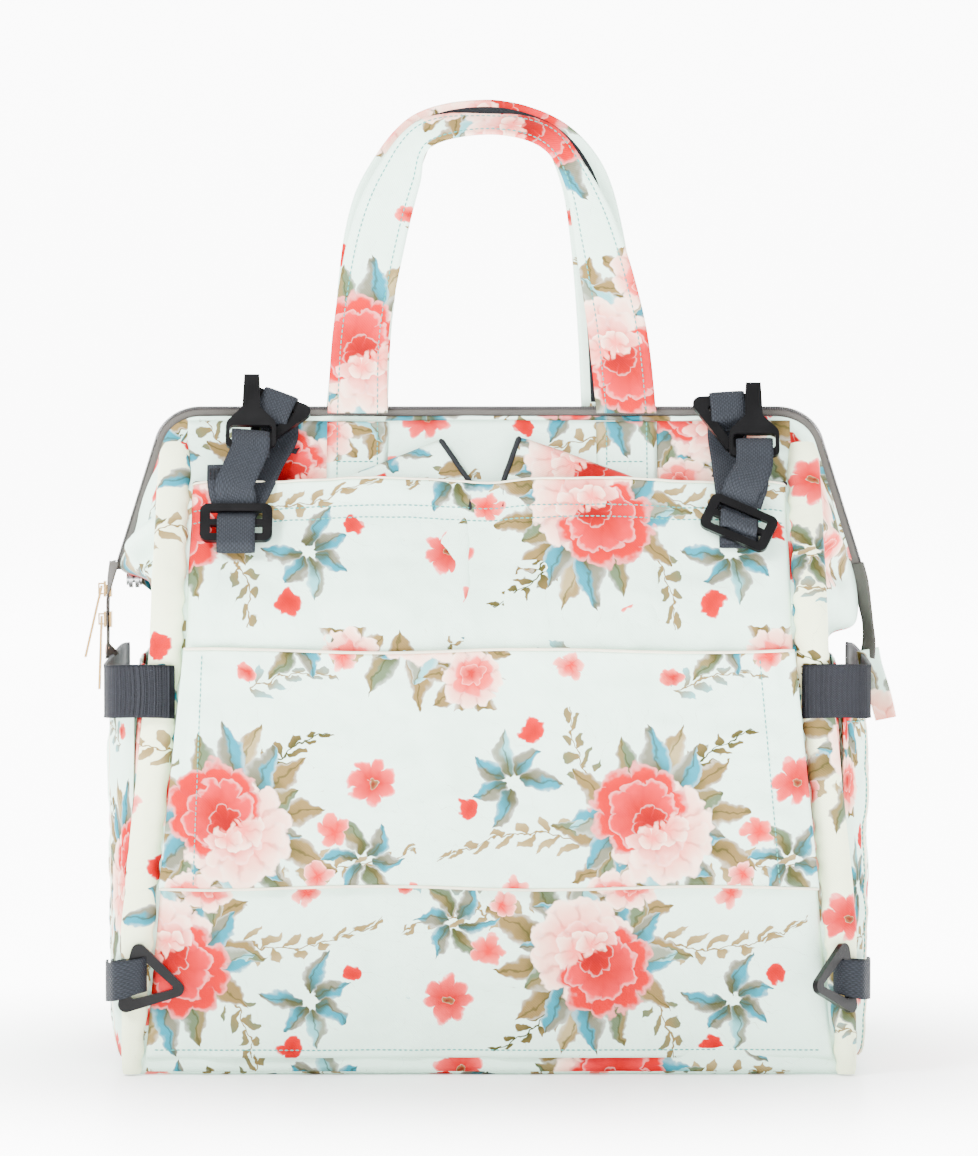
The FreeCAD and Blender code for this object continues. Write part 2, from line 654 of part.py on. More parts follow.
corner_z = 50.0
corner_x = 178.0
bar_radius = (ring_bar ** 2 + ring_thick ** 2) ** 0.5 / 2
ring_y = back_y - 4 - 0.2 - webbing - 0.4 - bar_radius
fold_x = corner_x - bar_radius - 3.5
tab_half = web_width / 2 - 2  # the webbing bunches where it folds round the bar
for name, side, tilt, swing in (("left", -1, 14.0, 0.0), ("right", 1, 8.0, 50.0)):
    corner_ring = ring()
    corner_ring.rotate(V(0, 0, 0), V(0, 0, 1), 90)
    if side > 0:
        corner_ring = mirrored(corner_ring)
    corner_ring.rotate(V(0, 0, 0), V(0, 1, 0), side * swing)
    stand(corner_ring)
    corner_ring.rotate(V(0, 0, 0), V(0, 1, 0), -side * tilt)
    corner_ring.translate(V(side * corner_x, ring_y, corner_z))
    export("corner_ring_" + name, corner_ring)

    inner_y = back_y - 4 - 0.2 - webbing / 2
    outer_y = 2 * ring_y - inner_y
    tab_path = [(corner_x + 8, inner_y), (fold_x, inner_y), (fold_x, outer_y),
                (corner_x + 8, outer_y), (corner_x + 12.5, inner_y - 0.5), (corner_x + 12.5, inner_y + 12)]
    tab = plate(ribbon(tab_path, webbing), -tab_half, tab_half, ribbon_radii(tab_path, 1.8, webbing))
    tab.rotate(V(corner_x, ring_y, 0), V(0, 1, 0), -tilt)
    if side < 0:
        tab = mirrored(tab)
    tab.translate(V(0, 0, corner_z))
    export("corner_tab_" + name, tab)
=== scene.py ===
import math

import bpy
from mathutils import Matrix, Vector, noise


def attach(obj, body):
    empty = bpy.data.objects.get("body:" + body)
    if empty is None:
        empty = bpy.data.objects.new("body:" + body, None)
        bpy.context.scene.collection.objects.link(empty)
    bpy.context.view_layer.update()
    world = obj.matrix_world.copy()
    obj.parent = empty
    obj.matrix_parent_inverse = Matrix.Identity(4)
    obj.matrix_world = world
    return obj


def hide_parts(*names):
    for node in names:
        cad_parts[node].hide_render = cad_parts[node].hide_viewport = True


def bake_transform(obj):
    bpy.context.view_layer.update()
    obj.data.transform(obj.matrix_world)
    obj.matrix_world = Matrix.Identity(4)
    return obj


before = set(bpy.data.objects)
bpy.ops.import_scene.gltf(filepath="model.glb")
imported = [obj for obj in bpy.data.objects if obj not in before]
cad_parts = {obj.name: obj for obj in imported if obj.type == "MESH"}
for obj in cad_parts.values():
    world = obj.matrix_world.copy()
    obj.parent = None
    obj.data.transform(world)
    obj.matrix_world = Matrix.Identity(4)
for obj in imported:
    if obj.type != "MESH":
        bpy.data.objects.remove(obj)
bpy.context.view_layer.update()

# Cloth panels. Every panel is cut from one printed polyester twill, coated on the inside, and is sewn
# to its neighbours inside out. The print is a half-drop repeat of large peonies with leaves, sprigs and
# small blossoms on a pale mint ground.

MM = 0.001


class Wire:
    """One socket of a material's nodes. Arithmetic on wires adds Math or Vector Math nodes."""

    def __init__(self, socket):
        self.socket = socket
        self.tree = socket.id_data

    def node(self, kind, settings=None, values=None, out=0):
        made = self.tree.nodes.new("ShaderNode" + kind)
        for name, value in (settings or {}).items():
            if name == "stops":
                ramp = made.color_ramp.elements
                while len(ramp) < len(value):
                    ramp.new(0.5)
                for stop, (place, colour) in zip(ramp, value):
                    stop.position = place
                    stop.color = (*colour, 1)
            else:
                setattr(made, name, value)
        for key, value in (values or {}).items():
            if isinstance(value, Wire):
                self.tree.links.new(value.socket, made.inputs[key])
            elif value is not None:
                made.inputs[key].default_value = value
        return Wire(made.outputs[out])

    def math(self, operation, *others):
        every = (self, *others)
        vector = any(isinstance(o, Wire) and o.socket.type == "VECTOR" for o in every)
        kind = "VectorMath" if vector else "Math"
        values = dict(enumerate(every))
        return self.node(kind, {"operation": operation}, values)

    def __add__(self, other):
        return self.math("ADD", other)

    def __radd__(self, other):
        return self.math("ADD", other)

    def __sub__(self, other):
        return self.math("SUBTRACT", other)

    def __mul__(self, other):
        return self.math("MULTIPLY", other)

    def __rmul__(self, other):
        return self.math("MULTIPLY", other)

    def __truediv__(self, other):
        return self.math("DIVIDE", other)

    def __pow__(self, other):
        return self.math("POWER", other)

    def __neg__(self):
        return self.math("MULTIPLY", -1.0)

    def __abs__(self):
        return self.math("ABSOLUTE")

    def __lt__(self, other):
        return self.math("LESS_THAN", other)

    def __gt__(self, other):
        return self.math("GREATER_THAN", other)

    def __rsub__(self, other):
        return (-self).math("ADD", other)

    def sin(self):
        return self.math("SINE")

    def floor(self):
        return self.math("FLOOR")

    def least(self, other):
        return self.math("MINIMUM", other)

    def most(self, other):
        return self.math("MAXIMUM", other)

    def wrap(self, half):
        return self.math("WRAP", half, -half)

    def ramp(self, low, high, first=0.0, last=1.0):
        """A smooth rise from first to last as this value goes from low to high."""
        return self.node("MapRange", {"interpolation_type": "SMOOTHSTEP", "clamp": False}, {
            "Value": self, "From Min": low, "From Max": high, "To Min": first, "To Max": last})

    def mix(self, other, factor):
        """This colour, with another laid over it."""
        other = (*other, 1.0) if isinstance(other, tuple) else other
        return self.node("Mix", {"data_type": "RGBA"}, {0: factor, 6: self, 7: other}, out=2)

    def colour(self, first, last):
        """A colour that runs from first to last as this value goes from 0 to 1."""
        return self.node("Mix", {"data_type": "RGBA"},
                         {0: self, 6: (*first, 1.0), 7: (*last, 1.0)}, out=2)

    def split(self):
        parts = self.node("SeparateXYZ", values={0: self})
        return [Wire(parts.socket.node.outputs[i]) for i in range(3)]


def finish_material(name, **constants):
    """A material whose constant sockets are set; returns it and a wire to hang nodes from."""
    material = bpy.data.materials.new(name)
    material.use_nodes = True
    shader = material.node_tree.nodes["Principled BSDF"]
    for key, value in constants.items():
        socket = shader.inputs[key.replace("_", " ")]
        socket.default_value = (*value, 1.0) if isinstance(value, tuple) else value
    return material, shader, Wire(shader.outputs[0])


def plug(shader, name, wire):
    wire.tree.links.new(wire.socket, shader.inputs[name])


def emboss(start, shader, height, distance, strength=1.0):
    plug(shader, "Normal", start.node(
        "Bump", values={"Height": height, "Distance": distance, "Strength": strength}))


def cloth_place(start):
    """Millimetres of cloth across and along, from the panel's own cutting layout."""
    place = start.node("UVMap", {"uv_map": "cloth"})
    across, along, _ = (place * (1000.0, 1000.0, 1000.0)).split()
    return place, across, along


REPEAT_W, REPEAT_H = 210.0, 110.0
CREAM = (1.0, 0.68, 0.52)
BLUSH = (0.84, 0.14, 0.115)
CORAL = (0.56, 0.001, 0.004)
CRIMSON = (0.36, 0.0, 0.001)
AQUA = (0.012, 0.20, 0.27)
PALE_AQUA = (0.15, 0.42, 0.44)
OLIVE = (0.036, 0.037, 0.009)
SAND = (0.18, 0.12, 0.042)
PALE_SAND = (0.32, 0.25, 0.12)
SAGE = (0.085, 0.12, 0.065)


def petals(picture, x, y, centre, radius, count, turn, base, tip, depth=0.22, rough=None, part=None):
    """Lays one whorl of rounded, streaked petals over the picture; part keeps one side of it."""
    dx, dy = x - centre[0], y - centre[1]
    reach = (dx * dx + dy * dy) ** 0.5
    lobe = abs((dy.math("ARCTAN2", dx) * (count / 2) + turn).sin())
    edge = (lobe ** 0.5 * depth + (1 - depth)) * radius
    if rough:
        edge = edge + rough
    share = reach / edge
    paint = (share ** 1.7 + lobe * 0.16 - 0.1).colour(base, tip)
    crease = lobe.ramp(0.0, 0.5, 0.62, 0.0) * share.ramp(0.1, 0.7)
    paint = paint.mix((0.42, 0.004, 0.012), crease * 0.8)
    paint = paint.mix((1.0, 0.86, 0.78), share.ramp(0.86, 0.99, 0.0, 0.24))
    mask = share.ramp(0.97, 1.03, 1.0, 0.0)
    if part:
        side = dx * math.cos(part) + dy * math.sin(part)
        mask = mask * (side + lobe * 5.0).ramp(-1.0, 1.0)
    return picture.mix(paint, mask)


def wreath(picture, x, y, centre, inner, outer, width, count, turn, keep, colours, lean=0.0):
    """Lays a ring of pointed leaves over the picture, some left out and each in two colours."""
    dx, dy = x - centre[0], y - centre[1]
    reach = (dx * dx + dy * dy) ** 0.5
    step = 2 * math.pi / count
    angle = dy.math("ARCTAN2", dx) + turn + reach * lean
    index = (angle / step).floor()
    local = (angle / step - index - 0.5) * step
    chance = index.node("TexWhiteNoise", {"noise_dimensions": "1D"}, {"W": index * 1.7 + turn * 9.0})
    tall = chance * (outer - inner) * 0.3 + (outer - inner) * 0.7
    along = (reach - inner) / tall
    side = local * reach
    half = (along.most(0.0).least(1.0) ** 0.8 * math.pi).sin() * width
    ratio = abs(side) / (half + 0.02)
    mask = ratio.ramp(0.88, 1.04, 1.0, 0.0) * (along > 0.0) * (along < 1.0)
    mask = mask * ((chance * 3.7).math("FRACT") < keep)
    first = (chance * 7.31).math("FRACT")
    paint = first.node("ValToRGB", {"stops": [
        (i / len(colours), c) for i, c in enumerate(colours)]}, {0: first})
    paint.socket.node.color_ramp.interpolation = "CONSTANT"
    second = paint.mix(SAND, 0.75)
    paint = paint.mix(second, (side + (along * 9.0 + chance * 20.0).sin() * 1.2).ramp(-0.6, 1.4))
    paint = paint.mix(OLIVE, ((1 - along) * 1.5 - 0.55 - ratio * 0.3).ramp(0.0, 0.6, 0.0, 0.8))
    paint = paint.mix(OLIVE, abs(side).ramp(0.15, 0.75, 0.65, 0.0))
    paint = paint.mix((0.88, 0.95, 0.90), ratio.ramp(0.55, 1.0, 0.0, 0.25))
    return picture.mix(paint, mask)


def sprig(picture, x, y, start, heading, length, bend, leaf, pitch, dark, light):
    """Lays a bent twig with leaflets on both sides over the picture."""
    dx, dy = x - start[0], y - start[1]
    c, s = math.cos(heading), math.sin(heading)
    along = dx * c + dy * s
    side = dy * c - dx * s - along * along * bend
    away = abs(side)
    slant = along - away * 0.75 + (side > 0.0) * (pitch / 2)
    fold = (slant / pitch - (slant / pitch).floor() - 0.5) * pitch
    fade = (along / length).ramp(0.1, 1.0, 1.0, 0.35)
    leaf_half = ((away / (fade * leaf)).least(1.0) * math.pi).sin() * (pitch * 0.30)
    leaflet = (abs(fold) / (leaf_half + 0.02)).ramp(0.8, 1.1, 1.0, 0.0)
    twig = away.ramp(0.25, 0.6, 1.0, 0.0)
    inside = (along > 0.0) * (along < length)
    paint = (away / leaf).colour(dark, light)
    return picture.mix(paint, leaflet.most(twig) * inside)


def print_cloth(name, ground):
    """Printed twill: the repeat is laid motif over motif on the ground colour."""
    material, shader, start = finish_material(
        name, Roughness=0.5, Specular_IOR_Level=0.06)
    place, across, along = cloth_place(start)
    wander = start.node("TexNoise", {"noise_dimensions": "2D"}, {
        "Vector": place, "Scale": 95.0, "Detail": 2.5, "Roughness": 0.62}, out=1)
    parts = wander.node("SeparateColor", values={0: wander}).socket.node.outputs
    shift_x, shift_y, fleck = Wire(parts[0]), Wire(parts[1]), Wire(parts[2])
    x0 = across + (shift_x - 0.5) * 8.0
    y0 = along + (shift_y - 0.5) * 8.0
    row = (y0 / REPEAT_H + 0.5).floor()
    odd = abs(row - (row * 0.5).floor() * 2.0)
    y = y0 - row * REPEAT_H
    x = (x0 + odd * (REPEAT_W / 2)).wrap(REPEAT_W / 2) * (1 - odd * 2.0)
    wobble = (fleck - 0.5) * 7.0
    p = fleck.ramp(0.25, 0.75).colour(tuple(c * 0.97 for c in ground), ground)
    leafy = [AQUA, AQUA, SAGE, AQUA, PALE_AQUA]
    dusty = [SAND, SAND, SAGE, PALE_SAND]
    p = sprig(p, x, y, (-34, -10), 2.75, 62, 0.010, 10.5, 10.5, SAND, PALE_SAND)
    p = sprig(p, x, y, (-30, 22), 2.2, 40, -0.012, 9.5, 9.5, SAND, SAGE)
    p = sprig(p, x, y, (32, -20), -0.35, 58, 0.008, 10.5, 10.5, SAND, PALE_SAND)
    p = sprig(p, x, y, (22, 24), 0.95, 34, -0.010, 9.5, 9.0, OLIVE, SAND)
    p = sprig(p, x, y, (92, -46), 2.5, 40, 0.012, 9.0, 9.5, SAND, PALE_AQUA)
    p = wreath(p, x, y, (4, -6), 20, 56, 7.2, 11, 0.4, 0.72, dusty, 0.005)
    p = wreath(p, x, y, (0, 0), 15, 49, 8.0, 11, 1.9, 0.74, leafy, -0.007)
    p = wreath(p, x, y, (-68, 20), 3, 27, 5.6, 7, 0.2, 0.72, leafy, 0.015)
    p = wreath(p, x, y, (-17, -41), 8, 27, 5.2, 8, 0.6, 0.6, dusty, 0.02)
    p = wreath(p, x, y, (70, -20), 3, 25, 5.0, 6, 0.9, 0.7, leafy, -0.02)
    p = petals(p, x, y, (6, -6), 27, 11, 0.3, BLUSH, CREAM, 0.16, wobble)
    p = petals(p, x, y, (-5, 5), 24, 9, 1.1, CRIMSON, CORAL, 0.18, wobble)
    p = petals(p, x, y, (-3, 3), 17.5, 8, 0.2, CRIMSON, (0.66, 0.02, 0.03), 0.2, wobble)
    p = petals(p, x, y, (1, -2), 9.5, 7, 1.7, (0.24, 0.0, 0.002), CRIMSON, 0.28)
    p = petals(p, x, y, (9, -10), 21, 9, 0.9, BLUSH, CREAM, 0.2, wobble, -1.1)
    p = petals(p, x, y, (4, -7), 15, 7, 2.3, CORAL, (0.96, 0.42, 0.34), 0.25, wobble, -1.2)
    p = petals(p, x, y, (10, -4), 10.5, 6, 0.6, BLUSH, CREAM, 0.3, wobble * 0.6, -1.0)
    p = petals(p, x, y, (2, -8), 7.5, 5, 1.4, BLUSH, CREAM, 0.3, None, -1.3)
    p = petals(p, x, y, (73, 19), 12.5, 7, 0.5, CRIMSON, (0.78, 0.07, 0.07), 0.36)
    p = petals(p, x, y, (73, 19), 2.6, 5, 0.5, (0.12, 0.01, 0.005), SAND, 0.3)
    p = petals(p, x, y, (54, -6), 8.5, 5, 0.2, CORAL, BLUSH, 0.38)
    p = petals(p, x, y, (46, -28), 7.5, 5, 1.2, CORAL, (0.92, 0.32, 0.26), 0.38)
    p = petals(p, x, y, (-17, -40), 15.5, 8, 0.9, BLUSH, CREAM, 0.2, wobble * 0.5)
    p = petals(p, x, y, (-18, -39), 10.5, 6, 0.1, CORAL, BLUSH, 0.25)
    p = petals(p, x, y, (-18, -38), 5.5, 5, 0.7, CRIMSON, BLUSH, 0.3)
    p = petals(p, x, y, (-90, 6), 5.2, 3, 0.4, CRIMSON, CORAL, 0.2)
    p = petals(p, x, y, (-58, 44), 6.6, 4, 1.4, CRIMSON, CORAL, 0.25)
    p = petals(p, x, y, (94, -38), 5.0, 3, 2.4, CRIMSON, BLUSH, 0.25)
    p = petals(p, x, y, (-66, -34), 7.0, 5, 0.4, CORAL, (0.92, 0.32, 0.26), 0.38)
    twill = ((across + along) * (2 * math.pi / 1.35)).sin()
    # Painted shade: the twill's grooves, low in the bump below, are darkened by up to 6 per cent.
    p = p.mix((0.0, 0.0, 0.0), twill.ramp(-1.0, 1.0, 0.06, 0.0))
    plug(shader, "Base Color", p)
    plug(shader, "Roughness", fleck.ramp(0.2, 0.8, 0.44, 0.58))
    crease = start.node("TexNoise", values={"Vector": place, "Scale": 22.0, "Detail": 3.0})
    emboss(start, shader, twill * 0.10 + crease * 3.6, 0.0006, 0.6)
    return material


mint_print = print_cloth("mint_print", (0.68, 0.92, 0.78))
cream_print = print_cloth("cream_print", (0.84, 0.92, 0.62))


def dress(obj, material, slot, body="root", *nodes):
    """Gives a piece its material, smooth faces, body and the CAD nodes that it stands for."""
    obj.data.materials.append(material)
    for face in obj.data.polygons:
        face.use_smooth = True
    if nodes:
        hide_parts(*nodes)
    if body:
        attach(obj, body)
    return obj


def mesh_piece(name, points, faces, layout):
    """A mesh object whose 'cloth' map holds each corner's place on the cut cloth."""
    mesh = bpy.data.meshes.new(name)
    mesh.from_pydata([tuple(p) for p in points], [], faces)
    uv = mesh.uv_layers.new(name="cloth")
    for face in mesh.polygons:
        for corner in face.loop_indices:
            uv.data[corner].uv = layout[mesh.loops[corner].vertex_index]
    mesh.update()
    piece = bpy.data.objects.new(name, mesh)
    bpy.context.scene.collection.objects.link(piece)
    return piece


def modify(obj, kind, **settings):
    """Adds a modifier and applies it, so that the mesh is final."""
    made = obj.modifiers.new(kind.title(), kind)
    for key, value in settings.items():
        setattr(made, key, value)
    bpy.context.view_layer.update()
    graph = bpy.context.evaluated_depsgraph_get()
    result = bpy.data.meshes.new_from_object(obj.evaluated_get(graph))
    obj.modifiers.remove(made)
    obj.data = result
    return obj


def panel(name, place, wide, tall, thick=1.1 * MM, ring=False):
    """A sheet of cloth: place(u, v) gives a point and its place on the cut cloth."""
    points, layout = [], []
    for j in range(tall + 1):
        for i in range(wide + (0 if ring else 1)):
            point, spot = place(i / wide, j / tall)
            points.append(point)
            layout.append(spot)
    row = wide if ring else wide + 1
    faces = []
    for j in range(tall):
        for i in range(wide):
            k = (i + 1) % row
            faces.append((j * row + i, j * row + k, (j + 1) * row + k, (j + 1) * row + i))
    piece = mesh_piece(name, points, faces, layout)
    if thick:
        modify(piece, "SOLIDIFY", thickness=thick, offset=-1.0)
    return piece


def ripple(x, y, z, size, height):
    """A soft crumple: smooth noise with this wavelength and height."""
    return height * noise.fractal(Vector((x, y, z)) / size, 0.7, 2.1, 3)


def glide(points, t):
    """A point on the smooth curve through evenly timed points, t from 0 to 1."""
    last = len(points) - 1
    place = min(max(t, 0.0), 1.0) * last
    i = min(int(place), last - 1)
    f = place - i
    p = [points[max(i - 1, 0)], points[i], points[i + 1], points[min(i + 2, last)]]
    return tuple(
        0.5 * (2 * b + (c - a) * f + (2 * a - 5 * b + 4 * c - d) * f * f
               + (3 * b - a - 3 * c + d) * f ** 3)
        for a, b, c, d in zip(*p))


# Base. A printed panel stretched over a stiffening board, its edge turned up a few millimetres and sewn
# to the four walls.

def P(x, y, z):
    return Vector((x, y, z)) * MM


def rest_on(x0, y0, turn=0.0):
    """Where the print's repeat starts on a panel, as a function of place on the panel in mm."""
    c, s = math.cos(math.radians(turn)), math.sin(math.radians(turn))

    def layout(x, y):
        dx, dy = x - x0, y - y0
        return ((dx * c + dy * s) * MM, (dy * c - dx * s) * MM)
    return layout


def base_place(u, v):
    lay = rest_on(20, -30, 90)
    x, y = (u - 0.5) * 364, (v - 0.5) * 188
    edge = max(abs(u - 0.5), abs(v - 0.5)) * 2
    corner = max(0.0, math.hypot(max(abs(x) - 170, 0), max(abs(y) - 82, 0)) - 12)
    pull = 1 - corner / 260
    z = 0.8 + 3.4 * max(0.0, edge - 0.93) ** 1.5 / 0.0185 * 0.6 + ripple(x, y, 0, 60, 0.5)
    return P(x * pull, y * pull, max(z, 0.4)), lay(x, y)


base = panel("base_cloth", base_place, 90, 46, 1.4 * MM)
dress(base, mint_print, "print_fabric", "root", "base_panel")


# Back. A flat panel against the wearer, upright to three quarters of its height and then leaning inward
# to the mouth, with a foam pad behind it.

SEAM = [(173.0, 2.0), (164.5, 95.0), (152.0, 212.0), (149.0, 320.0)]
LEAN = math.atan2(45.5, 94.0)


def seam(z):
    """Half the width of the back at this height."""
    for (a, low), (b, high) in zip(SEAM, SEAM[1:]):
        if z <= high:
            return a + (b - a) * (z - low) / (high - low)
    return SEAM[-1][0]


def back(x, s, h):
    """A point on the back: x across, s up along its surface, h out from it."""
    start, bend = 217.0, 30.0
    if s < start:
        return P(x, -95 - h, s)
    turn = LEAN * min((s - start) / bend, 1.0)
    radius = bend / LEAN
    y = -95 + radius * (1 - math.cos(turn))
    z = start + radius * math.sin(turn)
    extra = max(0.0, s - start - bend)
    y += extra * math.sin(LEAN) - h * math.cos(turn)
    z += extra * math.cos(LEAN) + h * math.sin(turn)
    return P(x, y, z)


def back_place(u, v):
    s = 2 + v * 332
    x = (2 * u - 1) * (seam(s) + 2.2)
    h = 0.8 + ripple(x, s, 3, 45, 1.0) + 1.2 * math.exp(-((s - 308) / 9) ** 2) * math.sin(x / 13) ** 2
    return back(x, s, h), rest_on(-100, 304, 10)(x, s)


back_cloth = panel("back_cloth", back_place, 120, 110)
dress(back_cloth, mint_print, "print_fabric", "root", "back_panel")


# Foam and board. A pad of open cell foam fills the back between its panel and the lining, caught in the
# seams; a stiff fibre board lies loose on the floor of the bag.

def plain(name, colour, rough, grain, depth, kind="TexNoise", **more):
    """A material with one colour, mottled a little, and a fine grain in relief."""
    material, shader, start = finish_material(name, Roughness=rough, **more)
    place = start.node("TexCoord", out=3)
    cloud = start.node("TexNoise", values={"Vector": place, "Scale": 60.0, "Detail": 4.0})
    dark = tuple(c * 0.82 for c in colour)
    plug(shader, "Base Color", cloud.ramp(0.3, 0.7).colour(dark, colour))
    settings = {"feature": "SMOOTH_F1"} if kind == "TexVoronoi" else {}
    fine = start.node(kind, settings, {"Vector": place, "Scale": grain})
    plug(shader, "Roughness", cloud.ramp(0.2, 0.8, rough - 0.07, rough + 0.07))
    emboss(start, shader, fine, depth, 0.6)
    return material


foam_material = plain("foam", (0.62, 0.62, 0.60), 0.9, 700.0, 0.0006, "TexVoronoi")
board_material = plain("board", (0.16, 0.17, 0.18), 0.75, 900.0, 0.0003)
for node, material in (("back_foam", foam_material), ("base_board", board_material)):
    piece = bpy.data.objects.get(node)
    for slot in piece.material_slots:
        slot.material = material


# Padded rolls. A soft roll of cream print round a foam core runs up each side seam of the back; its
# stitches pull small puckers along both edges, and the side elastics squeeze it.

def roll_place(side):
    def place(u, v):
        s = 1 + v * 320
        half = (min(seam(s) + 16.4, 182.8) - seam(s)) / 2
        middle = seam(s) + half
        a = u * 2 * math.pi
        pucker = 0.55 * math.sin(s / 2.1 + 2 * math.sin(s / 9)) * max(0.0, math.cos(a)) ** 2
        swell = 1 + 0.05 * noise.noise(Vector((s / 20, side, 0))) - 0.5 * max(0, (s - 312) / 12) ** 2
        swell = swell * min(1.0, 0.86 + (s - 1) / 20)
        inner = -1.2 if math.cos(a) > 0 else 0.0
        dx = (half * math.cos(a) + pucker) * swell
        held = math.exp(-((s - 191.5) / 17) ** 6)
        dh = (4.6 * math.sin(a)) * swell * (1 - 0.42 * held) + inner * 0.2
        wave = ripple(s / 2, a * 8, side * 30, 16, 0.55) * (1 - held)
        lay = rest_on(0, 60, 0)
        return back(side * (middle - dx), s, 1.4 + dh + wave), lay(a * 6.2 + 60 * side, s)
    return place


rolls = []
for side, word in ((-1, "left"), (1, "right")):
    roll = panel("back_roll_cloth_" + word, roll_place(side), 28, 190, 0, ring=True)
    dress(roll, cream_print, "padded_roll", "root", "back_roll_" + word)
    rolls.append(roll)


# Side walls. One panel of printed twill on each side, from the base up to the ears. It is seamed to the
# padded roll behind and to the front wall, and narrows a little as it rises.

def side_place(side):
    def place(u, v):
        y = -91 + u * 184
        z = 2 + v * 203
        x = 181.2 - 6.2 * v + ripple(y, z, side * 9, 50, 1.2)
        soft = 3.5 * (1 - math.sin(math.pi * u) ** 0.5)
        return P(side * (x - soft), y, z), rest_on(15 * side, 70)(y * side, z)
    return place


for side, word in ((-1, "left"), (1, "right")):
    wall = panel("side_cloth_" + word, side_place(side), 60, 60)
    dress(wall, mint_print, "print_fabric", "root", "side_panel_" + word)


# Front wall. A panel of the same twill stands opposite the back, behind the zipped pocket. It ends where
# the soft yoke begins to fold.

def front_place(u, v):
    z = 2 + v * 149
    x = (2 * u - 1) * (183 - 4 * v)
    y = 94 - 1.2 * v + ripple(x, z, 7, 55, 1.0)
    return P(x, y, z), rest_on(35, 40)(-x, z)


front = panel("front_cloth", front_place, 100, 44)
dress(front, mint_print, "print_fabric", "root", "front_panel")


# Shoulder straps. Two padded straps are folded down behind the back pocket; only their shoulders show
# above its mouth, one edge of each bound with dark tape.

def cushion(name, place, wide, tall):
    """A stuffed piece: place(u, v, face) gives its two skins, which meet at the edge."""
    points, layout, faces = [], [], []
    for face in (1, -1):
        first = len(points)
        for j in range(tall + 1):
            for i in range(wide + 1):
                point, spot = place(i / wide, j / tall, face)
                points.append(point)
                layout.append(spot)
        for j in range(tall):
            for i in range(wide):
                a = first + j * (wide + 1) + i
                quad = (a, a + 1, a + wide + 2, a + wide + 1)
                faces.append(quad if face > 0 else quad[::-1])
    piece = mesh_piece(name, points, faces, layout)
    modify(piece, "WELD", merge_threshold=0.00005)
    return piece


def swept(rings, sides):
    """The faces of a strip swept through a number of rings, closed at both ends."""
    faces = []
    for i in range(rings - 1):
        for k in range(sides):
            n = (k + 1) % sides
            faces.append((i * sides + k, i * sides + n, (i + 1) * sides + n, (i + 1) * sides + k))
    faces.append(tuple(range(sides))[::-1])
    faces.append(tuple((rings - 1) * sides + k for k in range(sides)))
    return faces


def tube(name, points, radius, sides=8, flat=1.0):
    """A round or flattened cord through a list of points."""
    rings, layout = [], []
    run = 0.0
    for i, here in enumerate(points):
        ahead = points[min(i + 1, len(points) - 1)] - points[max(i - 1, 0)]
        ahead.normalize()
        side = ahead.cross(Vector((0, 1, 0.02))).normalized()
        up = side.cross(ahead)
        run += (here - points[i - 1]).length if i else 0.0
        end = 0.55 if i in (0, len(points) - 1) else 1.0
        for k in range(sides):
            a = 2 * math.pi * k / sides
            rings.append(here + (side * math.cos(a) + up * math.sin(a) * flat) * radius * end)
            layout.append((k / sides * 6.3 * radius, run))
    return mesh_piece(name, rings, swept(len(points), sides), layout)


def join(name, parts):
    """One object from several, with the first one's place in the scene."""
    for part in parts:
        part.select_set(True)
    bpy.context.view_layer.objects.active = parts[0]
    with bpy.context.temp_override(active_object=parts[0], selected_editable_objects=parts):
        bpy.ops.object.join()
    parts[0].name = name
    parts[0].select_set(False)
    return parts[0]


# Near-black cloth for the straps' bound edges and the bar tacks; also used for the painted shadow strips
# behind the back pocket's mouth.
binding_and_painted_shadow = plain("binding_and_painted_shadow", (0.007, 0.008, 0.010), 0.7, 1400.0, 0.0003, Specular_IOR_Level=0.2)


def strap_edge(side, z):
    """The inner edge of a stowed strap, which slants away at its shoulder."""
    if side < 0:
        return 9.0 if z < 291.5 else 9.0 + 15.5 * (z - 291.5) / 22
    return 6.5 if z < 291.5 else 6.5 + 8.5 * (z - 291.5) / 23.5


def strap_place(side):
    top_in, top_out = (321.5, 296.0) if side < 0 else (323.0, 296.0)

    def place(u, v, face):
        top = top_in + (top_out - top_in) * u ** 1.15
        s = 124 + v * (top - 124)
        z = 232 + (s - 232) * 0.9 if s > 232 else s
        x = strap_edge(side, z) + u * (85 - strap_edge(side, z))
        rim = (1 - abs(2 * u - 1) ** 6) * (1 - abs(2 * v - 1) ** 40)
        h = 5.6 + face * 3.2 * max(rim, 0.0) ** 0.5 + ripple(x, s, side * 5, 30, 0.9)
        lay = rest_on(52, 305, 200) if side > 0 else rest_on(-128, 262, 150)
        return back(side * x, s, h), lay(side * x, s)
    return place


for side, word in ((-1, "left"), (1, "right")):
    strap = cushion("shoulder_strap_cloth_" + word, strap_place(side), 44, 90)
    dress(strap, mint_print, "print_fabric", "root", "shoulder_strap_" + word)
    shape = strap_place(side)
    line = [shape(0.0, 0.80 + v / 200, 1)[0] + Vector((side * 0.6, -0.8, 0)) * MM for v in range(41)]
    edge = tube("shoulder_binding_" + word, line, 1.5 * MM, 8, 1.5)
    dress(edge, binding_and_painted_shadow, "print_fabric", "root")


# Back pocket. The whole back is a pocket that the straps stow in. Its cloth swells over them and sags
# between them; the mouth is turned over twice and sewn with a double row.

def pocket_swell(x, s):
    """How far the pocket is pushed out by the straps and its own slack."""
    over = 0.0
    for middle in (-48, 46):
        over += math.exp(-((x - middle) / 34) ** 4)
    over *= min(1.0, max(0.0, (s - 96) / 40))
    valley = -1.5 * math.exp(-(x / 9) ** 2) * min(1.0, max(0.0, (s - 180) / 60))
    return over * 3.0 + valley


def pocket_half(s):
    return seam(s) - 1.6


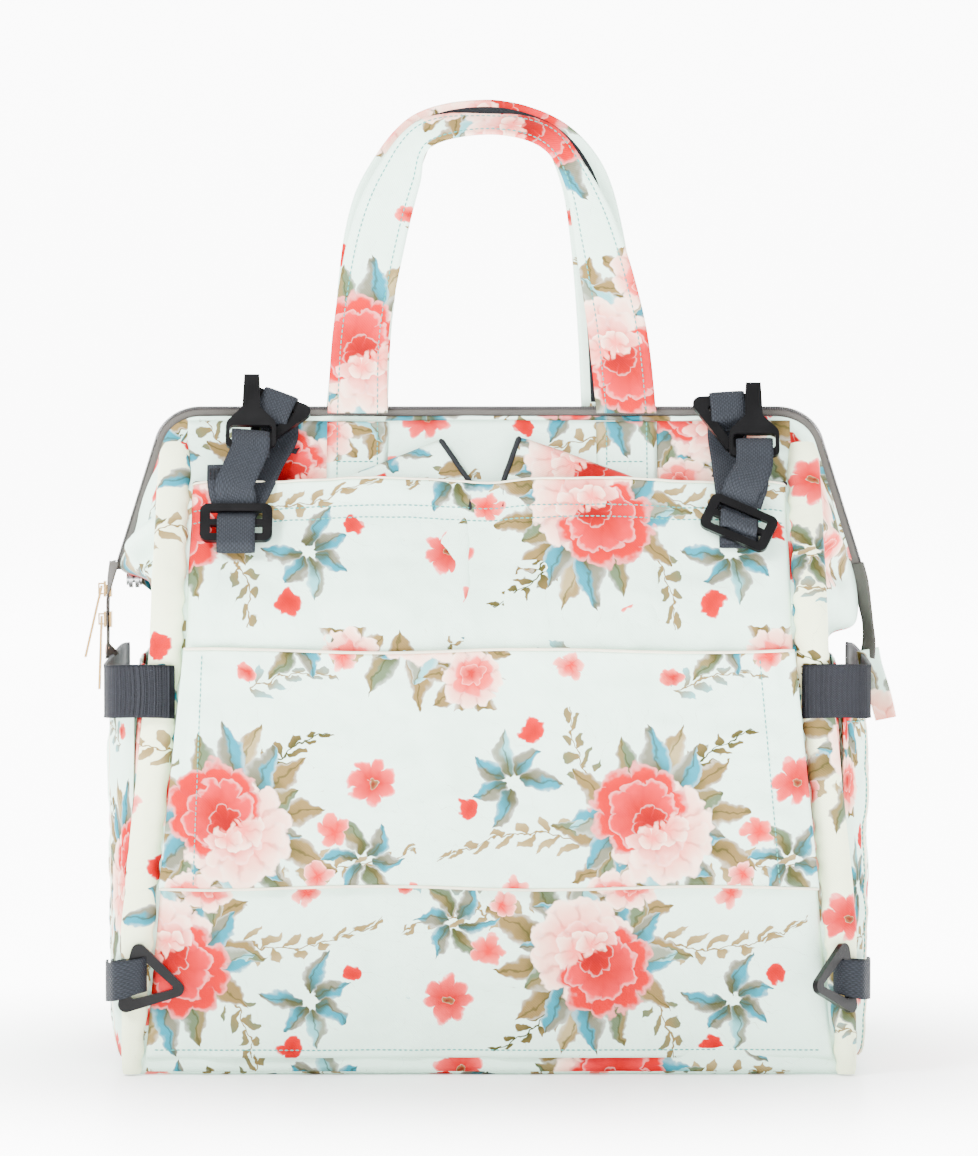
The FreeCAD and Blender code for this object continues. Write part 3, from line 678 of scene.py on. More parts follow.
def pocket_height(x, s):
    """How far the pocket's cloth stands off the back."""
    half = pocket_half(s)
    edge = max(0.0, min(1.0, (half - abs(x)) / 9))
    low = min(1.0, (s - 9) / 45)
    h = 1.8 + 6.2 * low ** 0.7 * edge ** 0.5 + pocket_swell(x, s) * edge
    drape = ripple(x * 0.45, s, 1, 38, 2.6) + ripple(x, s * 0.5, 9, 26, 1.2)
    drape += 1.1 * math.sin(x / 21 + s / 55) * max(0.0, (s - 215) / 80)
    mouth = max(0.0, (s - 285) / 12)
    gape = mouth * (1.2 + 1.4 * math.sin(x / 24 + 1) ** 2)
    side_pull = 0.8 * math.sin(s / 6.5) * math.exp(-(half - abs(x)) / 7)
    return h + drape * edge + gape + side_pull


def pocket_place(u, v):
    s = 9 + v * 287.5
    x = (2 * u - 1) * pocket_half(s)
    return back(x, s, pocket_height(x, s)), rest_on(53, 278, 180)(x, s)


pocket = panel("back_pocket_cloth", pocket_place, 170, 150, 1.1 * MM)
dress(pocket, mint_print, "print_fabric", "root", "back_pocket")


# Luggage sleeve. A broad band sewn across the back pocket at its sides, open above and below so that it
# drops over a suitcase handle. Both edges are turned and show a thin pale fold.

thread = plain("thread", (0.03, 0.30, 0.27), 0.5, 3000.0, 0.0002)
pale_edge = plain("pale_edge", (0.80, 0.76, 0.58), 0.8, 1500.0, 0.0003)


def sleeve_height(x, s):
    half = pocket_half(s)
    edge = min(1.0, (half - abs(x)) / 14)
    puffs = ripple(x * 0.35, s * 0.9, 40, 30, 3.0) + ripple(x * 0.8, s * 0.45, 77, 20, 1.3)
    puffs += 1.6 * math.exp(-((x + 18) / 10) ** 2) * math.sin((s - 95) / 117 * math.pi)
    loose = 10.6 + pocket_swell(x, s) * 0.9 * edge + (puffs + 0.6) * edge
    return max(loose, pocket_height(x, s) + 2.4)


def sleeve_place(u, v):
    s = 95 + v * 117
    half = pocket_half(s) + 0.6
    x = (2 * u - 1) * half
    wave = 0.9 * math.sin(x / 26 + 0.6) + 0.7 * math.sin(x / 11) * (1 - abs(2 * v - 1))
    pucker = 0.45 * math.sin(s / 3.4) * math.exp(-((abs(x) - 140) / 5) ** 2)
    h = sleeve_height(x, s) + pucker
    return back(x, s + wave * (2 * v - 1), h), rest_on(79, 128.5)(x, s)


sleeve = panel("luggage_sleeve_cloth", sleeve_place, 170, 70, 1.2 * MM)
dress(sleeve, mint_print, "print_fabric", "root", "luggage_sleeve")
folds = []
for v, drop in ((0.0, -0.4), (1.0, 0.5)):
    line = [sleeve_place(i / 240, v)[0] + Vector((0, -0.2, drop)) * MM for i in range(241)]
    folds.append(tube("fold", line, 0.75 * MM, 6))
line = [pocket_place(i / 240, 1.0)[0] + Vector((0, -0.3, 0.3)) * MM for i in range(241)]
folds.append(tube("fold", line, 0.6 * MM, 6))
dress(join("turned_edges", folds), pale_edge, "print_fabric", "root")


# Painted shadow: two thin near-black strips on the back, just behind the pocket's mouth, stand for the
# shade where the mouth gapes.
for low, high in ((-148.0, -88.0), (82.0, 149.0)):
    line = [back(low + (high - low) * i / 40, 297.6 + 0.4 * math.sin(i), 4.2) for i in range(41)]
    piece = tube("mouth_binding", line, 1.3 * MM, 6, 1.2)
    dress(piece, binding_and_painted_shadow, "print_fabric", "root")


# Stitching. Lockstitch in a bright turquoise polyester thread, in rows beside every turned edge.

def stitches(lines, pitch=2.7, size=0.36):
    """Short sunken threads, one after another, along each line of points."""
    made = []
    for line in lines:
        travelled, due = 0.0, 0.0
        ring = []
        for a, b in zip(line, line[1:]):
            length = (b - a).length / MM
            while due < travelled + length:
                f = (due - travelled) / max(length, 1e-6)
                ring.append(a.lerp(b, f))
                due += pitch / 2
            travelled += length
        made += [(p, q) for p, q in zip(ring[::2], ring[1::2])]
    points, faces, layout = [], [], []
    for p, q in made:
        ahead = (q - p).normalized()
        side = ahead.cross(Vector((0, 1, 0.3))).normalized()
        up = side.cross(ahead)
        reach = (q - p) * 0.22
        first = len(points)
        for middle, fat in ((p - reach, 0.35), (p.lerp(q, 0.25), 1.0), (p.lerp(q, 0.75), 1.0),
                            (q + reach, 0.35)):
            for k in range(5):
                a = 2 * math.pi * k / 5
                points.append(middle + (side * math.cos(a) + up * math.sin(a)) * size * fat * MM)
                layout.append((k * 0.0004, first * 0.001))
        for r in range(3):
            for k in range(5):
                n = (k + 1) % 5
                faces.append((first + r * 5 + k, first + r * 5 + n,
                              first + r * 5 + 5 + n, first + r * 5 + 5 + k))
    return points, faces, layout


def sew(name, body, lines, **more):
    piece = mesh_piece(name, *stitches(lines, **more))
    return dress(piece, thread, "print_fabric", body)


def on_pocket(x, s):
    half = pocket_half(s)
    return pocket_place((x / half + 1) / 2, (s - 9) / 287.5)[0] + Vector((0, -0.15, 0)) * MM


def on_sleeve(x, s):
    half = pocket_half(s) + 0.6
    return sleeve_place((x / half + 1) / 2, (s - 95) / 117)[0] + Vector((0, -0.15, 0)) * MM


rows = [[on_pocket(x, s) for x in range(-147, 148)] for s in (283.0, 276.5)]
rows.append([on_sleeve(-146.5 + 4.5 * i / 110, 97 + i) for i in range(114)])
rows.append([on_sleeve(144 - 10 * i / 110, 97 + i) for i in range(114)])
rows.append([on_pocket(x, 13) for x in range(-166, 167)])
sew("back_stitching", "root", rows)


# Mouth. Two grey herringbone zip tapes run round the mouth, one on each sprung wire, with a nylon coil
# on the meeting edges. A narrow printed band binds each tape to the bag.

LEAN_BACK = math.radians(24)
SIDE_N = Vector((0.9557, 0.2944))


def mouth(x, u, d):
    """A point on the mouth: x across, u up along it from the pivots, d towards the back."""
    c, s = math.cos(LEAN_BACK), math.sin(LEAN_BACK)
    return P(x, -10 - u * s - d * c, 243 + u * c - d * s)


def around(t, inset, low=6.0):
    """The U of the mouth from the left foot over the top to the right, t from 0 to 1."""
    side = -1 if t < 0.5 else 1
    t = 1 - abs(2 * t - 1)
    mid_x, mid_u, radius = 144.54, 72.4, 25.0 - inset
    if t < 0.36:
        f = t / 0.36
        end_u = mid_u + radius * SIDE_N[1]
        u = low + (end_u - low) * f
        return side * (184.45 - inset - SIDE_N[1] * u) / SIDE_N[0], u
    if t < 0.48:
        a = math.radians(17.1) + (t - 0.36) / 0.12 * math.radians(72.9)
        return side * (mid_x + radius * math.cos(a)), mid_u + radius * math.sin(a)
    f = (t - 0.48) / 0.52
    return side * mid_x * (1 - f), mid_u + radius


def band(name, near, far, depth, tall, wave, thick, low=6.0, lay=None, steps=260):
    """A band of the mouth's U between two insets."""
    lay = lay or rest_on(0, 0)

    def place(u, v):
        inset = near + (far - near) * v
        x, h = around(u, inset, low)
        run = (u - 0.5) * 480
        return mouth(x, h, depth(u, v) + ripple(run, v * 9, near, 24, wave)), lay(run, inset)
    return panel(name, place, steps, tall, thick)


def herringbone(name, colour):
    """Woven tape in two tones of grey: twill that reverses every few ribs."""
    material, shader, start = finish_material(name, Roughness=0.75, Specular_IOR_Level=0.15)
    place, across, along = cloth_place(start)
    zig = abs((along / 4.0 - (along / 4.0).floor()) - 0.5) * 2.0
    ribs = ((across / 1.1 + zig * 1.6) * (2 * math.pi)).sin()
    cloud = start.node("TexNoise", values={"Vector": place, "Scale": 40.0, "Detail": 3.0})
    dark = tuple(c * 0.72 for c in colour)
    paint = (ribs * 0.4 + cloud * 1.2 - 0.1).ramp(0.0, 1.0).colour(dark, colour)
    plug(shader, "Base Color", paint)
    plug(shader, "Roughness", cloud.ramp(0.2, 0.8, 0.68, 0.82))
    emboss(start, shader, ribs, 0.00018, 0.5)
    return material


tape_cloth = herringbone("tape_cloth", (0.085, 0.079, 0.072))
coil = plain("coil", (0.05, 0.047, 0.045), 0.38, 900.0, 0.0002, Coat_Weight=0.1)

for word, body, way in (("rear", "root", 1), ("front", "front_mouth", -1)):
    tape = band("tape_cloth_" + word, 1.4, 12.0, lambda u, v: way * (0.75 + v * 0.3), 5, 0.25, 0.5 * MM)
    dress(tape, tape_cloth, "zip_tape", body, "zip_tape_" + word)
    teeth_points, teeth_faces, teeth_layout = [], [], []
    for i in range(440):
        t = (i + (0.0 if way > 0 else 0.5)) / 440
        first = len(teeth_points)
        for inset, d in ((0.05, 0.35), (0.5, 0.95), (1.7, 0.95), (1.7, 0.15), (0.5, 0.1)):
            for dt in (-0.00062, 0.00062):
                x, u = around(min(max(t + dt, 0), 1), inset)
                teeth_points.append(mouth(x, u, way * d))
                teeth_layout.append((i * 0.001, inset * 0.001))
        for k in range(5):
            n = (k + 1) % 5
            teeth_faces.append((first + 2 * k, first + 2 * k + 1, first + 2 * n + 1, first + 2 * n))
        teeth_faces.append(tuple(first + 2 * k for k in range(5))[::-1])
        teeth_faces.append(tuple(first + 2 * k + 1 for k in range(5)))
    row = mesh_piece("coil_" + word, teeth_points, teeth_faces, teeth_layout)
    dress(row, coil, "zip_teeth", body, "zip_teeth_" + word)

rear_hem = band("rear_hem_cloth", 4.6, 16.5, lambda u, v: 1.9 + 1.5 * math.sin(math.pi * v), 8, 0.8,
                0.9 * MM, 12.0, rest_on(40, -20))
dress(rear_hem, mint_print, "print_fabric", "root")
front_hem = band("front_hem_cloth", 4.6, 22.0, lambda u, v: -2.0 - 3.0 * v, 8, 0.8,
                 0.9 * MM, 12.0, rest_on(-30, 30))
dress(front_hem, mint_print, "print_fabric", "front_mouth", "front_hem")


# Frames. Sprung steel wire in a tunnel behind each tape, the two flattened ends pinned together by a
# rivet in each ear.

steel = plain("steel", (0.55, 0.56, 0.58), 0.28, 260.0, 0.00006, Metallic=1.0)
for node in ("frame_wire_rear", "frame_wire_front", "frame_rivets"):
    for slot in bpy.data.objects[node].material_slots:
        slot.material = steel


# Handles. Each is printed cloth wrapped round webbing and stitched down both sides; the edges are turned
# under, so the dark webbing shows along the middle of the underside. Its legs are sewn flat to the bag.

def weave(name, colour, rib=1.05, dark=0.45, along_rib=2.0, **more):
    """Narrow woven webbing: rounded warp ribs crossed by the weft."""
    material, shader, start = finish_material(name, Roughness=0.62, **more)
    place, across, along = cloth_place(start)
    warp = (across * (math.pi / rib)).sin().math("ABSOLUTE")
    shift = (across / rib).floor() * 0.5 * along_rib
    weft = ((along + shift) * (2 * math.pi / along_rib)).sin()
    cloud = start.node("TexNoise", values={"Vector": place, "Scale": 55.0, "Detail": 4.0})
    fleck = start.node("TexNoise", values={"Vector": place, "Scale": 900.0, "Detail": 1.0})
    height = warp * 0.6 + weft * 0.4
    tone = (height * 0.6 + fleck * 0.5 + cloud * 0.4).ramp(0.1, 1.2)
    paint = tone.colour(tuple(c * dark for c in colour), colour)
    plug(shader, "Base Color", paint)
    plug(shader, "Roughness", cloud.ramp(0.2, 0.8, 0.55, 0.72))
    emboss(start, shader, height, 0.00035, 0.7)
    return material


webbing = weave("webbing", (0.020, 0.0235, 0.030), 1.05, 0.3, Specular_IOR_Level=0.12)
under_web = weave("under_webbing", (0.012, 0.014, 0.017), 0.8, 0.4, Specular_IOR_Level=0.1)

NEAR_RIMS = [
    (-81, 328.6, -51, 328.6, 0), (-78.3, 370, -50, 370, 0), (-70.3, 418, -41.8, 414, 0),
    (-57, 450, -34.6, 443, 1), (-35, 475, -29, 462, 4), (0, 478.4, 0, 468.4, 7), (31, 473, 26, 462, 4),
    (50, 450, 38, 443, 1), (65.5, 420, 43, 413, 0), (78.7, 373, 49.3, 372, 0), (84, 328.6, 54, 328.6, 0)]
FAR_RIMS = [
    (-82, 331, -51, 331, 0), (-78, 372, -49, 372, 0), (-72.5, 420, -43, 415, 0),
    (-62, 450, -36, 444, 0), (-38, 478, -26, 467, 2), (0, 485.4, 0, 475, 3), (34, 476.5, 25, 466, 2),
    (56.5, 454.5, 36, 444, 0), (67.5, 420, 41, 414, 0), (73.5, 373, 44.5, 372, 0),
    (76.5, 331, 46.5, 331, 0)]


def strap_loop(name, rims, y, face, marks, thick=3.0, steps=250, wide=12):
    """A strap bent to an arch between two rims. Returns it and its two stitch lines."""
    stations = [glide(rims, i / steps) for i in range(steps + 1)]
    points, layout, lines = [], [], [[], []]
    ring = 2 * (wide + 1)
    run, before = 0.0, None
    for i, (ox, oz, ix, iz, lean) in enumerate(stations):
        outer = P(ox, y + lean * face * 0.9, oz)
        inner = P(ix, y - lean * face * 0.9, iz)
        middle = outer.lerp(inner, 0.5)
        near, far = stations[max(i - 1, 0)], stations[min(i + 1, steps)]
        ahead = P((far[0] + far[2]) - (near[0] + near[2]), 0, (far[1] + far[3]) - (near[1] + near[3]))
        out = (inner - outer).cross(ahead).normalized()
        out = out if out.y * face < 0 else -out
        run += (middle - before).length / MM if before is not None else 0.0
        before = middle
        shift = [m for start, m in marks if run >= start][-1]
        width = (inner - outer).length / MM
        for k in range(ring):
            top = k <= wide
            f = k / wide if top else (ring - 1 - k) / wide
            dip = 0.45 * math.exp(-((abs(2 * f - 1) - 0.62) / 0.06) ** 2)
            crown = (1 - abs(2 * f - 1) ** 4) * 0.5 + 0.5
            h = (thick / 2) * crown - dip + ripple(run, f * 20, y, 22, 0.5)
            h = h if top else -(thick / 2) * crown * 0.9 + 0.3 * dip
            place = outer.lerp(inner, f)
            points.append(place + out * h * MM)
            layout.append(((f - 0.5) * min(width, 31) * MM, (run - shift) * MM))
            if top and abs(abs(2 * f - 1) - 2 / 3) < 0.02:
                lines[0 if f < 0.5 else 1].append(place + out * (h + 0.1) * MM)
    piece = mesh_piece(name, points, swept(steps + 1, ring), layout)
    cloth = piece.data.uv_layers["cloth"].data
    for face in piece.data.polygons[:steps * ring]:
        rows = [cloth[c].uv.y for c in face.loop_indices]
        if max(rows) - min(rows) > 0.02:
            for c in face.loop_indices[2:]:
                cloth[c].uv.y = cloth[face.loop_indices[0]].uv.y + 1.5 * MM
    return piece, lines, ring, run


def handle(name, rims, y, face, marks, body, node):
    piece, lines, ring, run = strap_loop(name, rims, y, face, marks)
    dress(piece, mint_print, "print_fabric", body, node)
    piece.data.materials.append(under_web)
    wide = ring // 2 - 1
    for i, polygon in enumerate(piece.data.polygons):
        k = i % ring
        if wide + 3 <= k <= ring - 5:
            polygon.material_index = 1
    sew(name + "_stitching", body, lines)
    return run


near_length = handle("rear_handle_cloth", NEAR_RIMS, -53.2, 1, [(0, 32), (108, 200), (262, 330)],
                     "handle_rear", "handle_rear")
handle("front_handle_cloth", FAR_RIMS, -41.5, -1, [(0, -40), (150, 190)],
       "handle_front", "handle_front")

for side, middle in ((-1, -66), (1, 69)):
    def foot_place(u, v, face):
        s = 294.5 + v * 38.5
        x = middle + (u - 0.5) * 30.5
        rim = (1 - abs(2 * u - 1) ** 8) * (1 - abs(2 * v - 1) ** 30)
        h = 1.6 + face * 1.25 * max(rim, 0) ** 0.5 + 0.5 * v ** 6
        run = -72 + 40 * v if side < 0 else near_length - 330 + 40 * (1 - v)
        return back(x, s, h), (-side * (u - 0.5) * 31 * MM, run * MM)
    foot = cushion("rear_handle_foot_" + ("left" if side < 0 else "right"), foot_place, 12, 36)
    dress(foot, mint_print, "print_fabric", "root", *(["handle_patches_rear"] if side < 0 else []))
    rows = [[foot_place(0.5 + w * 0.33, v / 40, 1)[0] + Vector((0, -0.15, 0)) * MM
             for v in range(1, 40)] for w in (-1, 1)]
    rows.append([foot_place(0.18 + i * 0.064, 0.42, 1)[0] + Vector((0, -0.2, 0)) * MM
                 for i in range(11)])
    sew("rear_foot_stitching_" + ("left" if side < 0 else "right"), "root", rows)

    def front_foot_place(u, v, face):
        rim = (1 - abs(2 * u - 1) ** 8) * (1 - abs(2 * v - 1) ** 30)
        d = -5.9 - face * 1.0 * max(rim, 0) ** 0.5 + 1.2 * v ** 8
        return (mouth(side * 66 + (u - 0.5) * 30.5, 60 + v * 37.5, d),
                ((u - 0.5) * 31 * MM, (v * 40 + 60 * side) * MM))
    foot = cushion("front_handle_foot_" + ("left" if side < 0 else "right"), front_foot_place, 12, 30)
    dress(foot, mint_print, "print_fabric", "front_mouth",
          *(["handle_patches_front"] if side < 0 else []))


# Rear gussets. Behind each end of the mouth the side cloth is gathered into a standing ear: it leaves
# the padded roll with a small rounded fold and flares out to the zip tape.

def ear_place(side):
    rear = [(158, -92.5, 207), (156, -93, 226), (155, -85, 250), (154, -74.5, 272), (151.5, -59.5, 303),
            (146, -51, 322)]
    if side < 0:
        front = [(171, -30, 207), (170, -26, 226), (172, -16, 242), (187, -12.5, 249), (180, -20, 266),
                 (172.5, -33, 290), (156, -46.5, 323)]
    else:
        front = [(171, -30, 207), (174, -18, 215), (187, -13.5, 221), (187, -12.5, 242), (180, -20, 264),
                 (172.5, -33, 290), (156, -46.5, 323)]

    def place(u, v):
        a, b = Vector(glide(rear, v)), Vector(glide(front, v))
        here = a.lerp(b, u)
        belly = math.sin(math.pi * u) ** 0.8 * math.sin(math.pi * min(v * 1.25 + 0.03, 1.0))
        out = Vector((1, -0.55, 0.1)).normalized()
        here += out * belly * 4.0
        beak = math.exp(-((v - 0.545 - 0.10 * (1 - u)) / 0.05) ** 2)
        beak *= math.sin(math.pi * min(u * 1.25, 1)) ** 0.6
        here += Vector((0.85, -0.75, 0.25)) * beak * 8.5
        under = math.exp(-((v - 0.45 - 0.10 * (1 - u)) / 0.05) ** 2)
        under *= math.sin(math.pi * min(u * 1.3, 1))
        here -= Vector((0.8, -0.6, 0.0)) * under * 5.0
        here += out * ripple(u * 60, v * 110, side * 20, 24, 1.8) * math.sin(math.pi * u)
        lay = rest_on(side * 40, 105, 15)
        return P(side * here.x, here.y, here.z), lay(u * 88, v * 118)
    return place


for side, word in ((-1, "left"), (1, "right")):
    ear = panel("rear_gusset_cloth_" + word, ear_place(side), 56, 80, 1.0 * MM)
    dress(ear, mint_print, "print_fabric", "root", "rear_gusset_" + word)
    place = ear_place(side)
    rows = [[place(0.06 + i * 0.012, 0.035)[0] + Vector((side * 0.4, -0.6, 0)) * MM for i in range(74)]]
    rows.append([place(0.04, 0.03 + i * 0.011)[0] + Vector((side * 0.3, -0.8, 0)) * MM
                 for i in range(84)])
    sew("gusset_stitching_" + word, "root", rows)


# Front yoke and gussets. The soft upper part of the front and its two corners, attached to no body.


def yoke_half(v):
    return 160 - 6 * v


def yoke_place(u, v):
    x = (2 * u - 1) * yoke_half(v)
    y, z = 93.6 - 126 * v, 150.5 + 170 * v
    puff = math.sin(math.pi * v) * 5.5 + ripple(x * 0.6, v * 180, 60, 42, 3.0) * math.sin(math.pi * v)
    puff += 1.3 * math.sin(x / 15) * v ** 3 * (1 - v) * 4
    return P(x, y + puff * 0.8, z + puff * 0.6), rest_on(-15, 60)(-x, v * 212)


yoke = panel("front_yoke_cloth", yoke_place, 120, 84, 1.1 * MM)
dress(yoke, mint_print, "print_fabric", None, "front_yoke")
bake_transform(yoke)


def corner_place(side):
    rear = [(179.5, 91, 152), (178.5, 90, 180), (176, 84, 204), (173, 55, 207), (171, 25, 208),
            (169, 2, 215), (169 if side < 0 else 183, -3, 232), (186, -9, 252), (175, -21, 290),
            (157, -31, 318)]

    def place(u, v):
        a = yoke_place(1 if side > 0 else 0, v)[0] / MM
        a.x = abs(a.x) - 1.5
        b = Vector(glide(rear, v))
        here = a.lerp(b, u)
        belly = math.sin(math.pi * u) * math.sin(math.pi * v) ** 0.7
        here += Vector((0.55, 0.45, 0.5)) * belly * 8
        here += Vector((0.4, 0.5, 0.4)) * ripple(u * 50, v * 120, side * 70, 26, 2.6) * belly
        return P(side * here.x, here.y, here.z), rest_on(60 * side, 80, 20)(u * 60, v * 212)
    return place


corners = []
for side, word in ((-1, "left"), (1, "right")):
    corner = panel("front_gusset_cloth_" + word, corner_place(side), 36, 84, 1.0 * MM)
    corners.append(corner)
corner = join("front_gusset_cloth", corners)
dress(corner, mint_print, "print_fabric", None, "front_gussets")
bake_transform(corner)


# Lining. A loose bag of dark coated cloth stands inside the lower body. Its rim is caught in the seams
# of the four walls and its floor covers the board.

lining_cloth = plain("lining_cloth", (0.10, 0.105, 0.115), 0.55, 1100.0, 0.0003, Specular_IOR_Level=0.2)


def lining_place(u, v):
    """Down one wall, over the floor and round: four walls with rounded corners, and a floor."""
    half_x, low_y, high_y, round_ = 174.5, -86.5, 90.5, 10.0
    a = u * 2 * math.pi
    c, s = math.cos(a), math.sin(a)
    scale = 1 / max(abs(c), abs(s))
    x, y = c * scale, s * scale
    cut = max(0.0, abs(x) + abs(y) - 1.9) * 0.5
    x, y = x * (1 - cut), y * (1 - cut)
    if v > 0.25:
        f = (v - 0.25) / 0.75
        z = 6.0 + f * 142
        shrink = 1 - 0.012 * math.sin(f * 9 + a * 3) ** 2 * (1 - f) - 0.02 * math.exp(-f * 20)
    else:
        z = 6.0 + 0.6 * math.sin(v * 30) ** 2
        shrink = 0.98 * v / 0.25
    x, y = x * shrink, y * shrink
    wave = ripple(x * 180, y * 90, z, 40, 1.2)
    return P(x * (half_x - 0.5 - wave * (v > 0.25)), (low_y + high_y) / 2 + y * (88.0 - wave), z), (u, v)


lining = panel("lining_cloth", lining_place, 160, 60, 0.7 * MM, ring=True)
dress(lining, lining_cloth, "lining", "root", "lining")


# Zip tails. Each tape runs on past its ear. On the left both tails hang together with the two sliders on
# them; on the right they end, twisted, in a printed tab.

def ribbon(name, spine, width, thick, lay, steps=60, wide=6):
    """A flat strip along a spine of (x, y, z, turn): turn is the angle of its width about the spine."""
    points, layout = [], []
    ring = 2 * (wide + 1)
    run, before = 0.0, None
    for i in range(steps + 1):
        x, y, z, turn = glide(spine, i / steps)
        near = glide(spine, max(i - 1, 0) / steps)
        far = glide(spine, min(i + 1, steps) / steps)
        here = P(x, y, z)
        ahead = (P(*far[:3]) - P(*near[:3])).normalized()
        flat = Vector((1, 0, 0)) if abs(ahead.x) < 0.8 else Vector((0, 0, 1))
        side = (flat - ahead * flat.dot(ahead)).normalized()
        up = ahead.cross(side)
        a = math.radians(turn)
        side, up = side * math.cos(a) + up * math.sin(a), up * math.cos(a) - side * math.sin(a)
        run += (here - before).length if before is not None else 0.0
        before = here
        for k in range(ring):
            top = k <= wide
            f = k / wide if top else (ring - 1 - k) / wide
            crown = 1.0 - 0.35 * abs(2 * f - 1) ** 6
            h = thick / 2 * crown * (1 if top else -1)
            points.append(here + side * (f - 0.5) * width * MM + up * h * MM)
            layout.append(lay((f - 0.5) * width, run / MM))
    return mesh_piece(name, points, swept(steps + 1, ring), layout)


plain_lay = rest_on(0, 0)
parts = [
    ribbon("tail", [(-190.8, -15.6, 252, 50), (-192.8, -16.0, 243, 66), (-194.4, -14.5, 234, 90),
                    (-194.4, -14.4, 220, 90), (-194.4, -13.8, 210, 92), (-192.6, -12.8, 203.5, 138)],
           8.0, 0.9, plain_lay),
    ribbon("tail", [(-191.8, -5.2, 252, 102), (-193.4, -4.6, 243, 96), (-194.4, -5.4, 232, 90),
                    (-194.4, -5.6, 220, 90), (-194.4, -6.2, 210, 88), (-192.0, -8.2, 203.0, 40)],
           8.0, 0.9, plain_lay)]
tail = join("zip_tail_cloth_left", parts)
dress(tail, tape_cloth, "zip_tape", "root", "zip_tail_left")
parts = [
    ribbon("tail", [(187.0, -16, 251, 35), (189.6, -15, 242, 38), (191.3, -13, 232, 45),
                    (193.2, -12, 221, 56), (194.0, -11, 211, 48), (193.2, -10, 203, 38)],
           9.0, 0.9, plain_lay),
    ribbon("tail", [(189.0, -6, 251, 60), (191.4, -6.5, 242, 60), (193.0, -7, 232, 62),
                    (193.8, -8, 221, 72), (194.6, -8.5, 211, 62), (194.2, -9, 203, 50)],
           7.5, 0.9, plain_lay)]
tail = join("zip_tail_cloth_right", parts)
dress(tail, tape_cloth, "zip_tape", "root", "zip_tail_right")
tab = ribbon("zip_end_tab_cloth", [(193.4, -10, 207, -10), (194.8, -10, 200, 0), (197.4, -10.3, 191, 16),
                                   (200.2, -10.6, 182, 24), (202.8, -10.8, 171.5, 34)],
             11.5, 3.0, rest_on(-14, 52), 44, 10)
dress(tab, mint_print, "print_fabric", "root", "zip_end_tab_right")
knot = ribbon("tail_wrap",
              [(-194.6, -13.4, 209, 84), (-195.0, -12.5, 206, 80), (-194.4, -11.8, 203, 74)],
              5.0, 1.6, rest_on(12, 30), 20, 6)
dress(knot, mint_print, "print_fabric", "root")


# Side pockets. Each is a gathered panel with a pleated wall at either end, sewn to the side and held in
# by a wide ribbed elastic that starts at the back, crosses the roll and runs round to the front.

def pocket_wall(side):
    line = [(176.5, -88.5), (183, -86), (187.6, -80), (189.4, -64), (190.0, -20), (190.2, 30),
            (189.4, 64), (186.5, 74), (178.5, 76)]

    def place(u, v):
        x, y = glide(line, u)
        z = 8 + v * 174
        low = 0.62 + 0.38 * min(1.0, v * 5) ** 0.5
        gather = math.exp(-((1 - v) / 0.08) ** 2)
        x = 176 + (x - 176) * low * (1 - 0.10 * gather)
        inside = math.sin(math.pi * u) ** 0.5
        x += ripple(y, z, side * 33, 34, 2.2) * inside + 0.8 * gather * math.sin(u * 85) * inside
        y += ripple(y, z, side * 51, 30, 1.4) * inside
        lay = rest_on(10, 100) if side < 0 else rest_on(96, 74)
        return P(side * x, y, z), lay(u * 190, z)
    return place


elastic = weave("elastic", (0.0185, 0.020, 0.0255), 1.5, 0.3, 1.2, Specular_IOR_Level=0.12)

for side, word in ((-1, "left"), (1, "right")):
    place = pocket_wall(side)
    wall = panel("side_pocket_cloth_" + word, place, 130, 84, 1.1 * MM)
    dress(wall, mint_print, "print_fabric", "root", "side_pocket_" + word)
    rows = [[place(0.05 + i * 0.0045, 0.965)[0] + Vector((side * 0.3, -0.2, 0)) * MM
             for i in range(200)]]
    for u in (0.245, 0.27):
        rows.append([place(u, 0.02 + i * 0.01)[0] + Vector((side * 0.2, -0.35, 0)) * MM
                     for i in range(93)])
    sew("side_pocket_stitching_" + word, "root", rows)
    seam_line = [place(0.257, i / 80)[0] + Vector((side * 0.5, -0.5, 0)) * MM for i in range(81)]
    dress(tube("pocket_piping_" + word, seam_line, 0.8 * MM, 6), pale_edge, "print_fabric", "root")

    def band_place(u, v):
        line = [(156.5, -100.4), (166, -101.2), (178, -100.6), (185.5, -98.4), (189.2, -92),
                (190.6, -80), (191.2, -30), (191.2, 30), (190.8, 66), (189.0, 79)]
        x, y = glide(line, u)
        rib = 0.16 * math.sin(u * 235 * math.pi) * (0.4 + 0.6 * math.exp(-((u - 0.07) / 0.1) ** 2))
        rim = 0.45 if 0.05 < v < 0.95 else 0.0
        z = 178.4 + v * 26.4 + 0.5 * math.sin(u * 9)
        bow = -0.9 * math.sin(math.pi * v) * math.exp(-((u - 0.18) / 0.1) ** 2)
        return P(side * (x + rib - rim * 0.5 + bow), y - rib - bow * 0.5, z), (u * 235 * MM, v * 27 * MM)
    strip = panel("side_elastic_band_" + word, band_place, 420, 16, 1.5 * MM)
    dress(strip, elastic, "elastic", "root", "side_elastic_" + word)


# Front pocket. A boxed pocket crosses the whole front: a wrapped face, a lid and a floor of printed
# twill, with a zip let into the face just below the lid.

RIGHT_HALF = [(40, 123), (120, 122.4), (176, 121.5), (184.5, 115), (186, 104), (184.5, 95.2)]
TRAY = [(-x, y) for x, y in reversed(RIGHT_HALF)] + RIGHT_HALF


